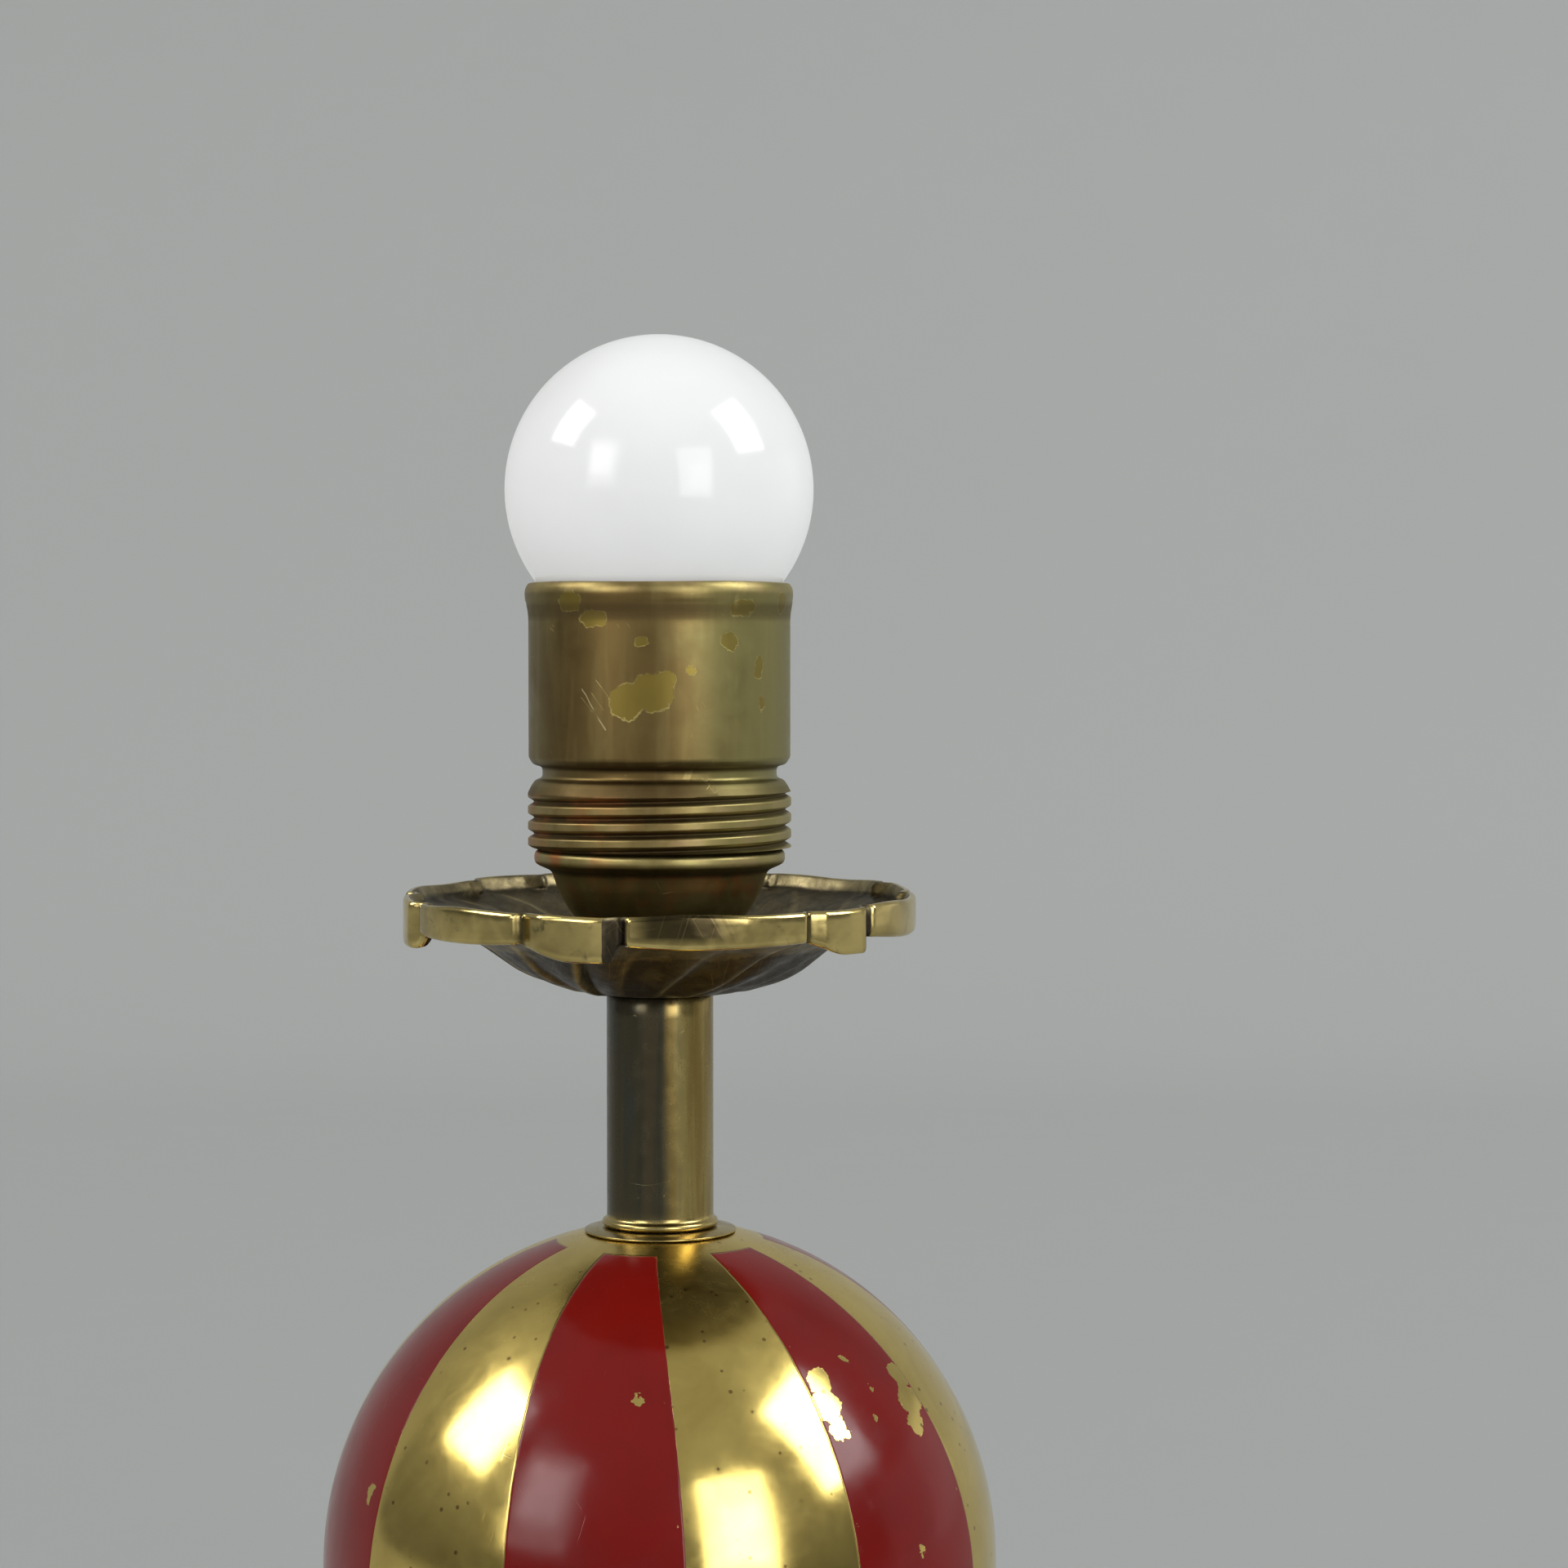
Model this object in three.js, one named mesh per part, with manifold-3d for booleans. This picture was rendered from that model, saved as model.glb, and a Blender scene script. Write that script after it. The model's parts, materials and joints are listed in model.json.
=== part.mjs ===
// Table lamp: opal bulb, brass lampholder with a shade-ring thread, scalloped drip pan, short tube,
// striped brass ball and a stepped round foot, all clamped together by one hollow threaded rod.
// Millimetres, +Z up. The origin is the centre of the foot's underside; -Y is the front.
import * as THREE from 'three';
import { mergeVertices } from 'three/addons/utils/BufferGeometryUtils.js';
import Module from 'manifold-3d';

// ---- driving dimensions ----------------------------------------------------------------------
const BALL_R = 50.5;
const BALL_Z = 90; // height of the ball's centre, which the foot decides
const BALL_CUT = 1.2; // how much of the ball is cut away at each pole
const SHEET = 1.2; // thickness of spun brass
const GAP = 0.1; // play between stacked pieces
const CLEARANCE = 0.3; // play around the rod and between cut pieces

const ROD_R = 5; // M10 x 1 hollow rod
const ROD_BORE = 4;
const TUBE_R = 8;
const COLLAR_R = 11.4;
const COLLAR_T = 0.7;

const PAN_R = 38.7;
const PAN_BOTTOM = BALL_Z + 85.2;
const PAN_RIM = BALL_Z + 99.5; // at the front
const PAN_RISE = 1.5; // how much higher the rim stands at the back
const PAN_LOBES = 6;
const PAN_SWIRL = 0.035; // radians that a flute turns for each millimetre outwards

const CAP_BOTTOM = BALL_Z + 89.9;
const CAP_BEAD = BALL_Z + 105.1;
const SHELL_BOTTOM = BALL_Z + 104.6;
const SHELL_TOP = BALL_Z + 146.6;
const BARREL_PITCH = 2.38;
const BARREL_CREST = BALL_Z + 113.3; // where a crest of the barrel's thread passes the front

const BULB_R = 23.1;
const BULB_Z = BALL_Z + 160.3;
const BULB_TIP = BALL_Z + 113;
const E27_PITCH = 25.4 / 7;
const E27_MEAN_R = 12.55;
const E27_WAVE = 0.5;
const E27_PLAY = 0.7; // between the bulb's thread and the holder's

const FOOT_R = 62;
const FOOT_TOP = 34;
const FELT_T = 1.3;
const WEIGHT_BOTTOM = 12;
const GLAND_Z = 10.3;
const WIRE_R = 1.1;

const ROUND = 28; // facets around a large round piece
const MEDIUM = 24; // facets around a bulb or socket piece
const SMALL = 12; // facets around a small one

// ---- materials -------------------------------------------------------------------------------
const paint = (color, roughness, metalness) =>
  new THREE.MeshStandardMaterial({ color, roughness, metalness });
const brass = () => paint(0xb08a3e, 0.3, 1);
const agedBrass = () => paint(0x6b5527, 0.45, 1);
const darkBrass = () => paint(0x3b2a17, 0.5, 1);
const steel = () => paint(0xa8a8a4, 0.4, 1);
const iron = () => paint(0x3a3836, 0.8, 0.6);
const nickel = () => paint(0xc4c2ba, 0.3, 1);
const opal = () => paint(0xf2efe6, 0.12, 0);
const clearGlass = () => paint(0xdde4e2, 0.05, 0);
const porcelain = () => paint(0xe8e4d8, 0.25, 0);
const blackGlass = () => paint(0x16140f, 0.2, 0);
const felt = () => paint(0x24402c, 0.95, 0);
const plastic = () => paint(0x1b1b1b, 0.5, 0);
const insulation = (color) => paint(color, 0.6, 0);

// ---- geometry helpers ------------------------------------------------------------------------
const lamp = new THREE.Group();

function add(name, geometry, material) {
  const mesh = new THREE.Mesh(geometry, material);
  mesh.name = name;
  lamp.add(mesh);
  return mesh;
}

// Turns the faces outwards: a body whose signed volume is negative has them inwards.
function facingOut(geometry) {
  geometry.deleteAttribute('normal');
  geometry.deleteAttribute('uv');
  const merged = mergeVertices(geometry, 1e-4);
  const corner = [new THREE.Vector3(), new THREE.Vector3(), new THREE.Vector3()];
  const index = merged.index.array;
  let volume = 0;
  for (let i = 0; i < index.length; i += 3) {
    corner.forEach((v, k) => v.fromBufferAttribute(merged.attributes.position, index[i + k]));
    volume += corner[0].dot(corner[1].cross(corner[2]));
  }
  if (volume < 0) {
    for (let i = 0; i < index.length; i += 3) {
      [index[i], index[i + 1]] = [index[i + 1], index[i]];
    }
  }
  return merged;
}

// A turned piece from [radius, height] points, about +Z, with azimuth 0 at the front (-Y).
function turned(points, facets = ROUND) {
  const profile = points.map(([r, z]) => new THREE.Vector2(r, z));
  const geometry = new THREE.LatheGeometry(profile, facets);
  geometry.rotateX(Math.PI / 2);
  return facingOut(geometry);
}

// A ring is turned from a profile that closes on itself.
const ring = (points, facets) => turned([...points, points[0]], facets);

// A plain ring, which is what washers, sleeves and collars are.
const sleeve = (inner, outer, low, high, facets = SMALL) =>
  ring([[inner, low], [outer, low], [outer, high], [inner, high]], facets);

// Moves every vertex of a turned piece: shape(radius, azimuth, height) gives [radius, height].
function reshaped(geometry, shape) {
  const at = geometry.attributes.position;
  for (let i = 0; i < at.count; i += 1) {
    const azimuth = Math.atan2(at.getX(i), -at.getY(i));
    const [r, z] = shape(Math.hypot(at.getX(i), at.getY(i)), azimuth, at.getZ(i));
    at.setXYZ(i, r * Math.sin(azimuth), -r * Math.cos(azimuth), z);
  }
  return geometry;
}

// A round wire or rod along a smooth curve through the points.
function wire(points, radius, steps, sides = 8) {
  const circle = new THREE.Shape().absarc(0, 0, radius, 0, 2 * Math.PI);
  const extrudePath = new THREE.CatmullRomCurve3(points.map((p) => new THREE.Vector3(...p)));
  const options = { steps, extrudePath, curveSegments: sides / 2, bevelEnabled: false };
  return facingOut(new THREE.ExtrudeGeometry(circle, options));
}

// A plate: a flat outline pushed out by a thickness.
function plate(outline, depth) {
  const shape = new THREE.Shape(outline.map(([x, y]) => new THREE.Vector2(x, y)));
  return facingOut(new THREE.ExtrudeGeometry(shape, { depth, bevelEnabled: false }));
}

// A screw with a cheese head, head down, its head's underside at height zero.
function screw(headR, headH, shankR, shankL) {
  return turned([[0, 0], [headR, 0], [headR, headH], [shankR, headH], [shankR, headH + shankL],
    [0, headH + shankL]], SMALL);
}

// A hexagonal nut with a round hole.
function nut(acrossFlats, bore, low, high) {
  const outline = new THREE.Shape();
  const corner = acrossFlats / Math.sqrt(3);
  for (let k = 0; k < 6; k += 1) {
    const turn = (k * Math.PI) / 3;
    const place = [corner * Math.cos(turn), corner * Math.sin(turn)];
    if (k === 0) outline.moveTo(...place);
    else outline.lineTo(...place);
  }
  outline.holes.push(new THREE.Path().absarc(0, 0, bore, 0, 2 * Math.PI, true));
  const options = { depth: high - low, curveSegments: SMALL / 2, bevelEnabled: false };
  return facingOut(new THREE.ExtrudeGeometry(outline, options).translate(0, 0, low));
}

// Points of a circular arc in the [radius, height] plane, angles in degrees from the radius axis.
function arc(centreR, centreZ, radius, from, to, steps) {
  return Array.from({ length: steps + 1 }, (_, i) => {
    const turn = THREE.MathUtils.degToRad(from + ((to - from) * i) / steps);
    return [centreR + radius * Math.cos(turn), centreZ + radius * Math.sin(turn)];
  });
}

// Heights from one level to another, about `step` apart.
function levels(from, to, step) {
  const count = Math.round(Math.abs(to - from) / step);
  return Array.from({ length: count + 1 }, (_, i) => from + ((to - from) * i) / count);
}

const wasm = await Module();
wasm.setup();

function solid(geometry) {
  const vertProperties = new Float32Array(geometry.attributes.position.array);
  const triVerts = new Uint32Array(geometry.index.array);
  return new wasm.Manifold(new wasm.Mesh({ numProp: 3, vertProperties, triVerts }));
}

// The first geometry with the second cut out of it.
function cut(body, tool) {
  const result = solid(body).subtract(solid(tool)).getMesh();
  const geometry = new THREE.BufferGeometry();
  geometry.setAttribute('position', new THREE.BufferAttribute(result.vertProperties, 3));
  geometry.setIndex(new THREE.BufferAttribute(result.triVerts, 1));
  return geometry;
}

// ---- bulb: opal golf-ball lamp with an E27 cap -----------------------------------------------
// Right-hand E27 wave: the crest climbs one pitch for each turn to the left seen from above.
const e27 = (azimuth, z) =>
  E27_WAVE * Math.cos((2 * Math.PI * z) / E27_PITCH - azimuth);

function addBulb() {
  const neckZ = BULB_Z - 19;
  const neckR = 12.7;
  const cap = { low: BULB_TIP + 6, high: BULB_TIP + 26.4, thickness: 0.9 };
  const wall = 1;
  const spigot = { outer: 11.2, inner: 10.2, depth: 5 }; // the end of the glass, inside the cap
  add('bulb_glass', turned([
    [0, BULB_Z + BULB_R], ...arc(0, BULB_Z, BULB_R, 81, -54, 11), [neckR, neckZ],
    [neckR - 0.1, cap.high + 0.3], [spigot.outer, cap.high + 0.3],
    [spigot.outer, cap.high - spigot.depth], [spigot.inner, cap.high - spigot.depth],
    [spigot.inner, cap.high + 0.8], [11.7, cap.high + 1.6],
    ...arc(0, BULB_Z, BULB_R - wall, -57, 78, 8), [0, BULB_Z + BULB_R - wall],
  ], MEDIUM), opal());
  const shell = ring([
    ...levels(cap.low, cap.high, E27_PITCH / 5).map((z) => [E27_MEAN_R, z]),
    [E27_MEAN_R - cap.thickness, cap.high], [E27_MEAN_R - cap.thickness, cap.low],
  ], MEDIUM);
  add('bulb_screw_cap', reshaped(shell, (r, azimuth, z) => {
    const threaded = r > E27_MEAN_R - 0.1 && z > cap.low + 0.1 && z < cap.high - 3;
    return [threaded ? r + e27(azimuth, z) : r, z];
  }), nickel());
  add('bulb_insulator', turned([[0, BULB_TIP + 1.4], [5.2, BULB_TIP + 1.4], [6.2, BULB_TIP + 2.2],
    [11.2, BULB_TIP + 5.2], [11.2, BULB_TIP + 7.2], [0, BULB_TIP + 7.2]], SMALL), blackGlass());
  add('bulb_tip_contact', turned([[0, BULB_TIP], [3.6, BULB_TIP], [4.6, BULB_TIP + 0.6],
    [4.6, BULB_TIP + 1.3], [0, BULB_TIP + 1.3]], SMALL), nickel());
  const stemTop = BULB_Z - 8;
  add('bulb_stem', turned([[0, cap.high - 8], [8, cap.high - 8], [8, cap.high - 6], [4, cap.high + 1],
    [3, cap.high + 6], [3, stemTop - 1], [2.2, stemTop], [0, stemTop]], SMALL), clearGlass());
  for (const [side, sign] of [['left', -1], ['right', 1]]) {
    add(`bulb_support_wire_${side}`, wire([
      [sign * 4.6, 0, cap.high + 3], [sign * 4.4, 0, stemTop - 6],
      [sign * 5.4, 0, stemTop + 1], [sign * 8.4, 0, BULB_Z + 3.6],
    ], 0.35, 8, 6), nickel());
  }
  add('bulb_filament', wire([
    [-7.6, 0, BULB_Z + 4], [-5, -4, BULB_Z + 5], [0, -6.4, BULB_Z + 5.4],
    [5, -4, BULB_Z + 5], [7.6, 0, BULB_Z + 4],
  ], 0.5, 12, 6), steel());
}

// ---- lampholder ------------------------------------------------------------------------------
// The thread that takes a shade ring, as a wave on the barrel's outside.
const barrelThread = (azimuth, z) =>
  0.75 * Math.cos((2 * Math.PI * (z - BARREL_CREST)) / BARREL_PITCH - azimuth);

function addHolderShell() {
  const thread = { low: SHELL_BOTTOM + 2.3, high: BALL_Z + 116.4, r: 18.85 };
  const shell = ring([
    [19.1, SHELL_TOP - 0.2], [19.3, SHELL_TOP], [19.6, BALL_Z + 146.1], [19.8, BALL_Z + 144.8],
    [19.9, BALL_Z + 143.3], [19.75, BALL_Z + 141.8], [19.55, BALL_Z + 140.9],
    [19.55, BALL_Z + 120.7], [19.4, BALL_Z + 119.9], [18.8, BALL_Z + 119.4],
    [17.8, BALL_Z + 118.5], [17.6, BALL_Z + 117.4],
    ...levels(thread.high, thread.low, BARREL_PITCH / 4).map((z) => [thread.r, z]),
    [17.6, thread.low - 0.5], [17.6, SHELL_BOTTOM], [16.8, SHELL_BOTTOM], [16.8, BALL_Z + 118.4],
    [18.6, BALL_Z + 120.8], [18.65, BALL_Z + 140.9], [19, BALL_Z + 143], [18.95, BALL_Z + 146],
  ], ROUND);
  add('holder_shell', reshaped(shell, (r, azimuth, z) => {
    const threaded = Math.abs(r - thread.r) < 0.02 && z < thread.high + 0.1;
    return [threaded ? r + barrelThread(azimuth, z) : r, z];
  }), agedBrass());
}

function addHolderInside() {
  const floor = BALL_Z + 110.6;
  const low = BALL_Z + 104.5;
  const well = { r: 3.7, z: floor - 2.6 };
  const pinHole = { r: 1.9, z: floor - 4.6 };
  add('holder_insert', turned([
    [0, low], [16.3, low], [16.3, BALL_Z + 132], [15.6, BALL_Z + 132.8], [14.75, BALL_Z + 132.8],
    [14.75, floor], [well.r, floor], [well.r, well.z], [pinHole.r, well.z], [pinHole.r, pinHole.z],
    [0, pinHole.z],
  ], MEDIUM), porcelain());
  const shell = { low: floor + 3, high: BALL_Z + 131.5, outer: 14.5, inner: E27_MEAN_R + E27_PLAY };
  const screwShell = ring([
    ...levels(shell.low, shell.high, E27_PITCH / 5).map((z) => [shell.inner, z]),
    [shell.outer, shell.high], [shell.outer, shell.low],
  ], MEDIUM);
  add('holder_screw_shell', reshaped(screwShell, (r, azimuth, z) =>
    [r < shell.inner + 0.1 ? r + e27(azimuth, z) : r, z]), brass());
  add('side_contact', plate([[12.9, floor + 0.1], [14.3, floor + 0.1], [14.3, shell.low - GAP],
    [13.5, shell.low - GAP], [13.5, floor + 0.9], [12.9, floor + 0.9]], 5)
    .rotateX(Math.PI / 2).translate(0, 2.5, 0), brass());
  add('contact_plunger', turned([
    [0, floor - 3.2], [1.5, floor - 3.2], [1.5, floor + 0.8], [3.2, floor + 0.8],
    [3.2, floor + 1.5], [2.4, floor + 2.1], [0, floor + 2.1],
  ], SMALL), brass());
  const coils = 3.5;
  const springPath = levels(0, 1, 1 / 28).map((t) => {
    const turn = t * coils * 2 * Math.PI;
    return [2.55 * Math.cos(turn), 2.55 * Math.sin(turn), well.z + 0.4 + t * 2.6];
  });
  add('contact_spring', wire(springPath, 0.3, 42, 6), steel());
  for (const [side, sign] of [['left', -1], ['right', 1]]) {
    add(`holder_terminal_screw_${side}`, screw(2.2, 1.4, 1.3, 1.4)
      .translate(sign * 8, 0, low - 2.9), brass());
  }
}

function addHolderCap() {
  add('holder_cap', ring([
    [17.95, CAP_BEAD + 1.2], [18.3, CAP_BEAD + 1.3], [18.65, CAP_BEAD + 0.8], [18.8, CAP_BEAD],
    [18.6, CAP_BEAD - 0.7], [17.7, CAP_BEAD - 1.2], [16.3, CAP_BEAD - 1.6],
    [15.84, BALL_Z + 102.7], [15.4, BALL_Z + 101.3], [14.74, BALL_Z + 99.8],
    [13.9, BALL_Z + 98.3], [12.85, BALL_Z + 96.85], [11.2, BALL_Z + 94.9], [9.6, BALL_Z + 93],
    [8.7, BALL_Z + 91.6], [8.4, CAP_BOTTOM], [5.3, CAP_BOTTOM], [5.3, CAP_BOTTOM + 1.1],
    [7.5, CAP_BOTTOM + 1.1], [7.8, BALL_Z + 92.2], [8.8, BALL_Z + 93.7], [10.4, BALL_Z + 95.6],
    [12, BALL_Z + 97.5], [13.1, BALL_Z + 99], [13.9, BALL_Z + 100.4], [14.6, BALL_Z + 101.9],
    [14.9, BALL_Z + 103.3], [16.6, BALL_Z + 104.1], [17.95, BALL_Z + 104.3],
  ]), agedBrass());
  add('cap_nut', nut(13, ROD_R + CLEARANCE, CAP_BOTTOM + 1.2, CAP_BOTTOM + 4.2), brass());
}

// ---- drip pan --------------------------------------------------------------------------------
// Six pairs of lobes: a narrow one that stands proud, and a wide one between each two.
function lobe(azimuth) {
  const pair = (2 * Math.PI) / PAN_LOBES;
  const narrowFrom = THREE.MathUtils.degToRad(-29);
  const narrowWidth = THREE.MathUtils.degToRad(21);
  const within = (((azimuth - narrowFrom) % pair) + pair) % pair;
  return within < narrowWidth ? 1 : 0;
}

function addDripPan() {
  const bandFoot = BALL_Z + 94.2;
  const proudBy = 0.7;
  const lowerBy = 1.3;
  const under = [[9.3, PAN_BOTTOM], [13.4, BALL_Z + 86.1], [17.2, BALL_Z + 87.7],
    [21.6, BALL_Z + 89.8], [26.5, BALL_Z + 91.8], [32, BALL_Z + 93.1], [36.4, BALL_Z + 93.8]];
  const floor = under.map(([r, z]) => [r - 0.2, z + SHEET]).reverse();
  const pan = ring([
    [ROD_R + CLEARANCE, PAN_BOTTOM], ...under, [PAN_R - 0.5, bandFoot], [PAN_R, bandFoot + 0.6],
    [PAN_R, PAN_RIM - 0.5], [PAN_R - 0.5, PAN_RIM], [PAN_R - 1.2, PAN_RIM - 0.4],
    [PAN_R - 1.6, bandFoot + 2], ...floor, [ROD_R + CLEARANCE, PAN_BOTTOM + SHEET],
  ], 48);
  const bandR = PAN_R - 2;
  add('drip_pan', reshaped(pan, (r, azimuth, z) => {
    if (r > bandR) {
      const proud = lobe(azimuth);
      const lean = (PAN_RISE * (1 - Math.cos(azimuth))) / 2;
      return [r - proudBy * (1 - proud), z < bandFoot + 1 ? z - lowerBy * proud : z + lean];
    }
    const across = THREE.MathUtils.smoothstep(r, 12, 30);
    const flute = Math.cos(PAN_LOBES * (azimuth + PAN_SWIRL * (PAN_R - r)));
    return [r, z + 0.35 * flute * across];
  }), darkBrass());
  add('pan_spacer', sleeve(ROD_R + CLEARANCE, 8.4, PAN_BOTTOM + SHEET + GAP, CAP_BOTTOM - GAP),
    agedBrass());
}

// ---- tube, ball and collars ------------------------------------------------------------------
function addStem() {
  const ballTop = BALL_Z + BALL_R - BALL_CUT;
  const ballFoot = BALL_Z - BALL_R + BALL_CUT;
  const tubeFoot = ballTop + 2 * GAP + COLLAR_T;
  add('upper_tube', ring([
    [TUBE_R - 1, tubeFoot], [TUBE_R + 0.5, tubeFoot], [TUBE_R + 0.8, tubeFoot + 0.6],
    [TUBE_R + 0.5, tubeFoot + 1.2], [TUBE_R, tubeFoot + 1.4], [TUBE_R, PAN_BOTTOM - GAP],
    [TUBE_R - 1, PAN_BOTTOM - GAP],
  ], MEDIUM), brass());
  add('ball_top_collar', sleeve(ROD_R + CLEARANCE, COLLAR_R, ballTop + GAP,
    ballTop + GAP + COLLAR_T, MEDIUM), brass());
  const pole = THREE.MathUtils.radToDeg(Math.asin((BALL_R - BALL_CUT) / BALL_R));
  const hole = ROD_R + CLEARANCE;
  const innerR = BALL_R - 1.6;
  const innerPole = THREE.MathUtils.radToDeg(Math.acos(hole / innerR));
  add('ball', ring([
    [hole, ballTop], ...arc(0, BALL_Z, BALL_R, pole, -pole, 14), [hole, ballFoot],
    ...arc(0, BALL_Z, innerR, -innerPole, innerPole, 8),
  ], 36), brass());
  add('ball_foot_collar', sleeve(ROD_R + CLEARANCE, COLLAR_R, ballFoot - GAP - COLLAR_T,
    ballFoot - GAP, MEDIUM), brass());
  const neckTop = ballFoot - 2 * GAP - COLLAR_T;
  const neckFoot = FOOT_TOP + GAP;
  add('lower_neck', ring([
    [ROD_R + CLEARANCE, neckFoot], [12.6, neckFoot], [13.2, neckFoot + 0.7],
    [12.4, neckFoot + 1.5], [9.6, neckFoot + 2.6], [9.2, neckFoot + 3.6],
    [9.8, neckFoot + 4.6], [10.6, neckTop], [ROD_R + CLEARANCE, neckTop],
  ], MEDIUM), brass());
}

// ---- foot ------------------------------------------------------------------------------------
// The foot's swept upper surface, from its shoulder in to its top: an ogee.
function ogee(r) {
  const t = (54 - r) / (54 - 20);
  return 17.6 + 12.8 * (t + 0.1 * Math.sin(2 * Math.PI * t));
}

function addFoot() {
  const sweep = levels(54, 20, 6).map((r) => [r, ogee(r)]);
  const outside = [
    [60.6, 1.6], [61.7, 2.4], [FOOT_R, 3.7], [61.7, 5], [60.6, 5.9], [59.5, 6.3], [59.2, 7],
    [59.2, 14.2], [58.6, 15.3], [57, 15.8], [55, 16.3], ...sweep,
    [19, 31.3], [19.4, 32.2], [19, 33.2], [18, FOOT_TOP],
  ];
  const inside = [
    [16.8, FOOT_TOP - SHEET], [17.6, 32], [17.6, 31], [19.4, 29],
    ...levels(20.8, 52.4, 8).map((r) => [r, ogee(r) - 1.6]),
    [54.4, 15], [56.6, 14.6], [57.6, 14], [58, 13.4], [58, 7.2], [58.3, 5.6], [60, 4.8],
    [60.7, 3.8], [60, 2.9], [56, 2.8],
  ];
  const shell = ring([
    [ROD_R + CLEARANCE, FOOT_TOP - SHEET], ...inside, [56, 1.6], ...outside,
    [ROD_R + CLEARANCE, FOOT_TOP],
  ]);
  const drill = new THREE.CylinderGeometry(3.9, 3.9, 10, SMALL).translate(0, FOOT_R - 4, GLAND_Z);
  add('foot_shell', cut(shell, facingOut(drill)), brass());
  add('felt_pad', turned([[0, 0], [60, 0], [60, FELT_T], [0, FELT_T]], 36), felt());
  const top = levels(50, 21, 7).map((r) => [r, ogee(r) - 2.4]);
  add('foot_weight', ring([
    [ROD_R + CLEARANCE, WEIGHT_BOTTOM], [50, WEIGHT_BOTTOM], ...top, [16, 29.4],
    [ROD_R + CLEARANCE, 29.4],
  ], MEDIUM), iron());
}

function addRod() {
  const low = 6;
  add('central_rod', sleeve(ROD_BORE, ROD_R, low, CAP_BOTTOM + 5.2), steel());
  add('rod_washer', sleeve(ROD_R + CLEARANCE, 12, WEIGHT_BOTTOM - GAP - 1, WEIGHT_BOTTOM - GAP),
    steel());
  add('rod_lock_washer', sleeve(ROD_R + CLEARANCE, 8.4, WEIGHT_BOTTOM - 2 * GAP - 1.8,
    WEIGHT_BOTTOM - 2 * GAP - 1), steel());
  add('rod_nut', nut(15, ROD_R + CLEARANCE, low + 0.6, WEIGHT_BOTTOM - 3 * GAP - 1.8), steel());
}

// The bush in the back of the foot that a mains lead passes through.
function addGland() {
  const bore = 3.1;
  const body = 3.6;
  const skirtR = 59.2; // the foot's upright side, where the bush sits
  const gland = ring([
    [bore, -3.6], [3.9, -3.6], [4.1, -3.2], [4.1, -2.6], [body, -2.2], [body, 0.7], [4, 0.7],
    [4, 1.7], [3.7, 2.7], [bore, 2.7],
  ], SMALL);
  gland.rotateX(-Math.PI / 2);
  add('cord_gland', gland.translate(0, skirtR, GLAND_Z), plastic());
}

// Anchorage and connector block on the underside of the weight.
function addWiringParts() {
  const feetZ = WEIGHT_BOTTOM - GAP;
  const strip = 1; // thickness of the clamp's strip
  const saddle = plate([
    [-11, feetZ], [-11, feetZ - strip], [-4, feetZ - strip], [-3.6, feetZ - 5.4],
    [3.6, feetZ - 5.4], [4, feetZ - strip], [11, feetZ - strip], [11, feetZ], [3.1, feetZ],
    [2.8, feetZ - 4.4], [-2.8, feetZ - 4.4], [-3.1, feetZ],
  ], 6);
  add('cord_clamp', saddle.rotateX(Math.PI / 2).translate(0, 48, 0), steel());
  for (const [side, sign] of [['left', -1], ['right', 1]]) {
    add(`clamp_screw_${side}`, turned([[0, 0], [1.8, 0], [2, 0.5], [2, 1.2], [0, 1.2]], SMALL)
      .translate(sign * 7.6, 45, feetZ - strip - GAP - 1.2), steel());
  }
  const block = { low: 4.4, high: feetZ, near: 22, far: 38 };
  add('terminal_block', new THREE.BoxGeometry(17, block.far - block.near, block.high - block.low)
    .translate(0, (block.near + block.far) / 2, (block.low + block.high) / 2), porcelain());
  const spots = [[-4, 26], [4, 26], [-4, 34], [4, 34]];
  spots.forEach(([x, y], i) => {
    add(`block_screw_${i + 1}`, turned([[0, 0], [1.7, 0], [1.9, 0.4], [1.9, 1.1], [0, 1.1]], SMALL)
      .translate(x, y, block.low - GAP - 1.1), brass());
  });
  for (const [name, sign, color] of [['wire_live', -1, 0x7a3b1e], ['wire_neutral', 1, 0x2c4f86]]) {
    add(name, wire([
      [sign * 8, 0, BALL_Z + 101.3 - WIRE_R], [sign * 6.6, 0, BALL_Z + 98.6],
      [sign * 3, 0, BALL_Z + 96.8], [sign * 1.6, 0, BALL_Z + 94], [sign * 1.6, 0, BALL_Z + 60],
      [sign * 1.6, 0, BALL_Z], [sign * 1.6, 0, 30], [sign * 1.6, 0, 9], [sign * 1.7, 1.4, 4.4],
      [sign * 2, 6, 3.1], [sign * 3, 13, 4.4], [sign * 4, block.near - 0.4, 8],
    ], WIRE_R, 44, 6), insulation(color));
  }
}

addBulb();
addHolderShell();
addHolderInside();
addHolderCap();
addDripPan();
addStem();
addFoot();
addRod();
addGland();
addWiringParts();

export default lamp;
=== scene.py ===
"""A small brass table lamp with an opal bulb, a scalloped drip pan and a ball striped in red lacquer.

Lengths in the profiles are millimetres; everything in Blender is in metres, in the CAD model's frame.
"""

import json
import math

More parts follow.
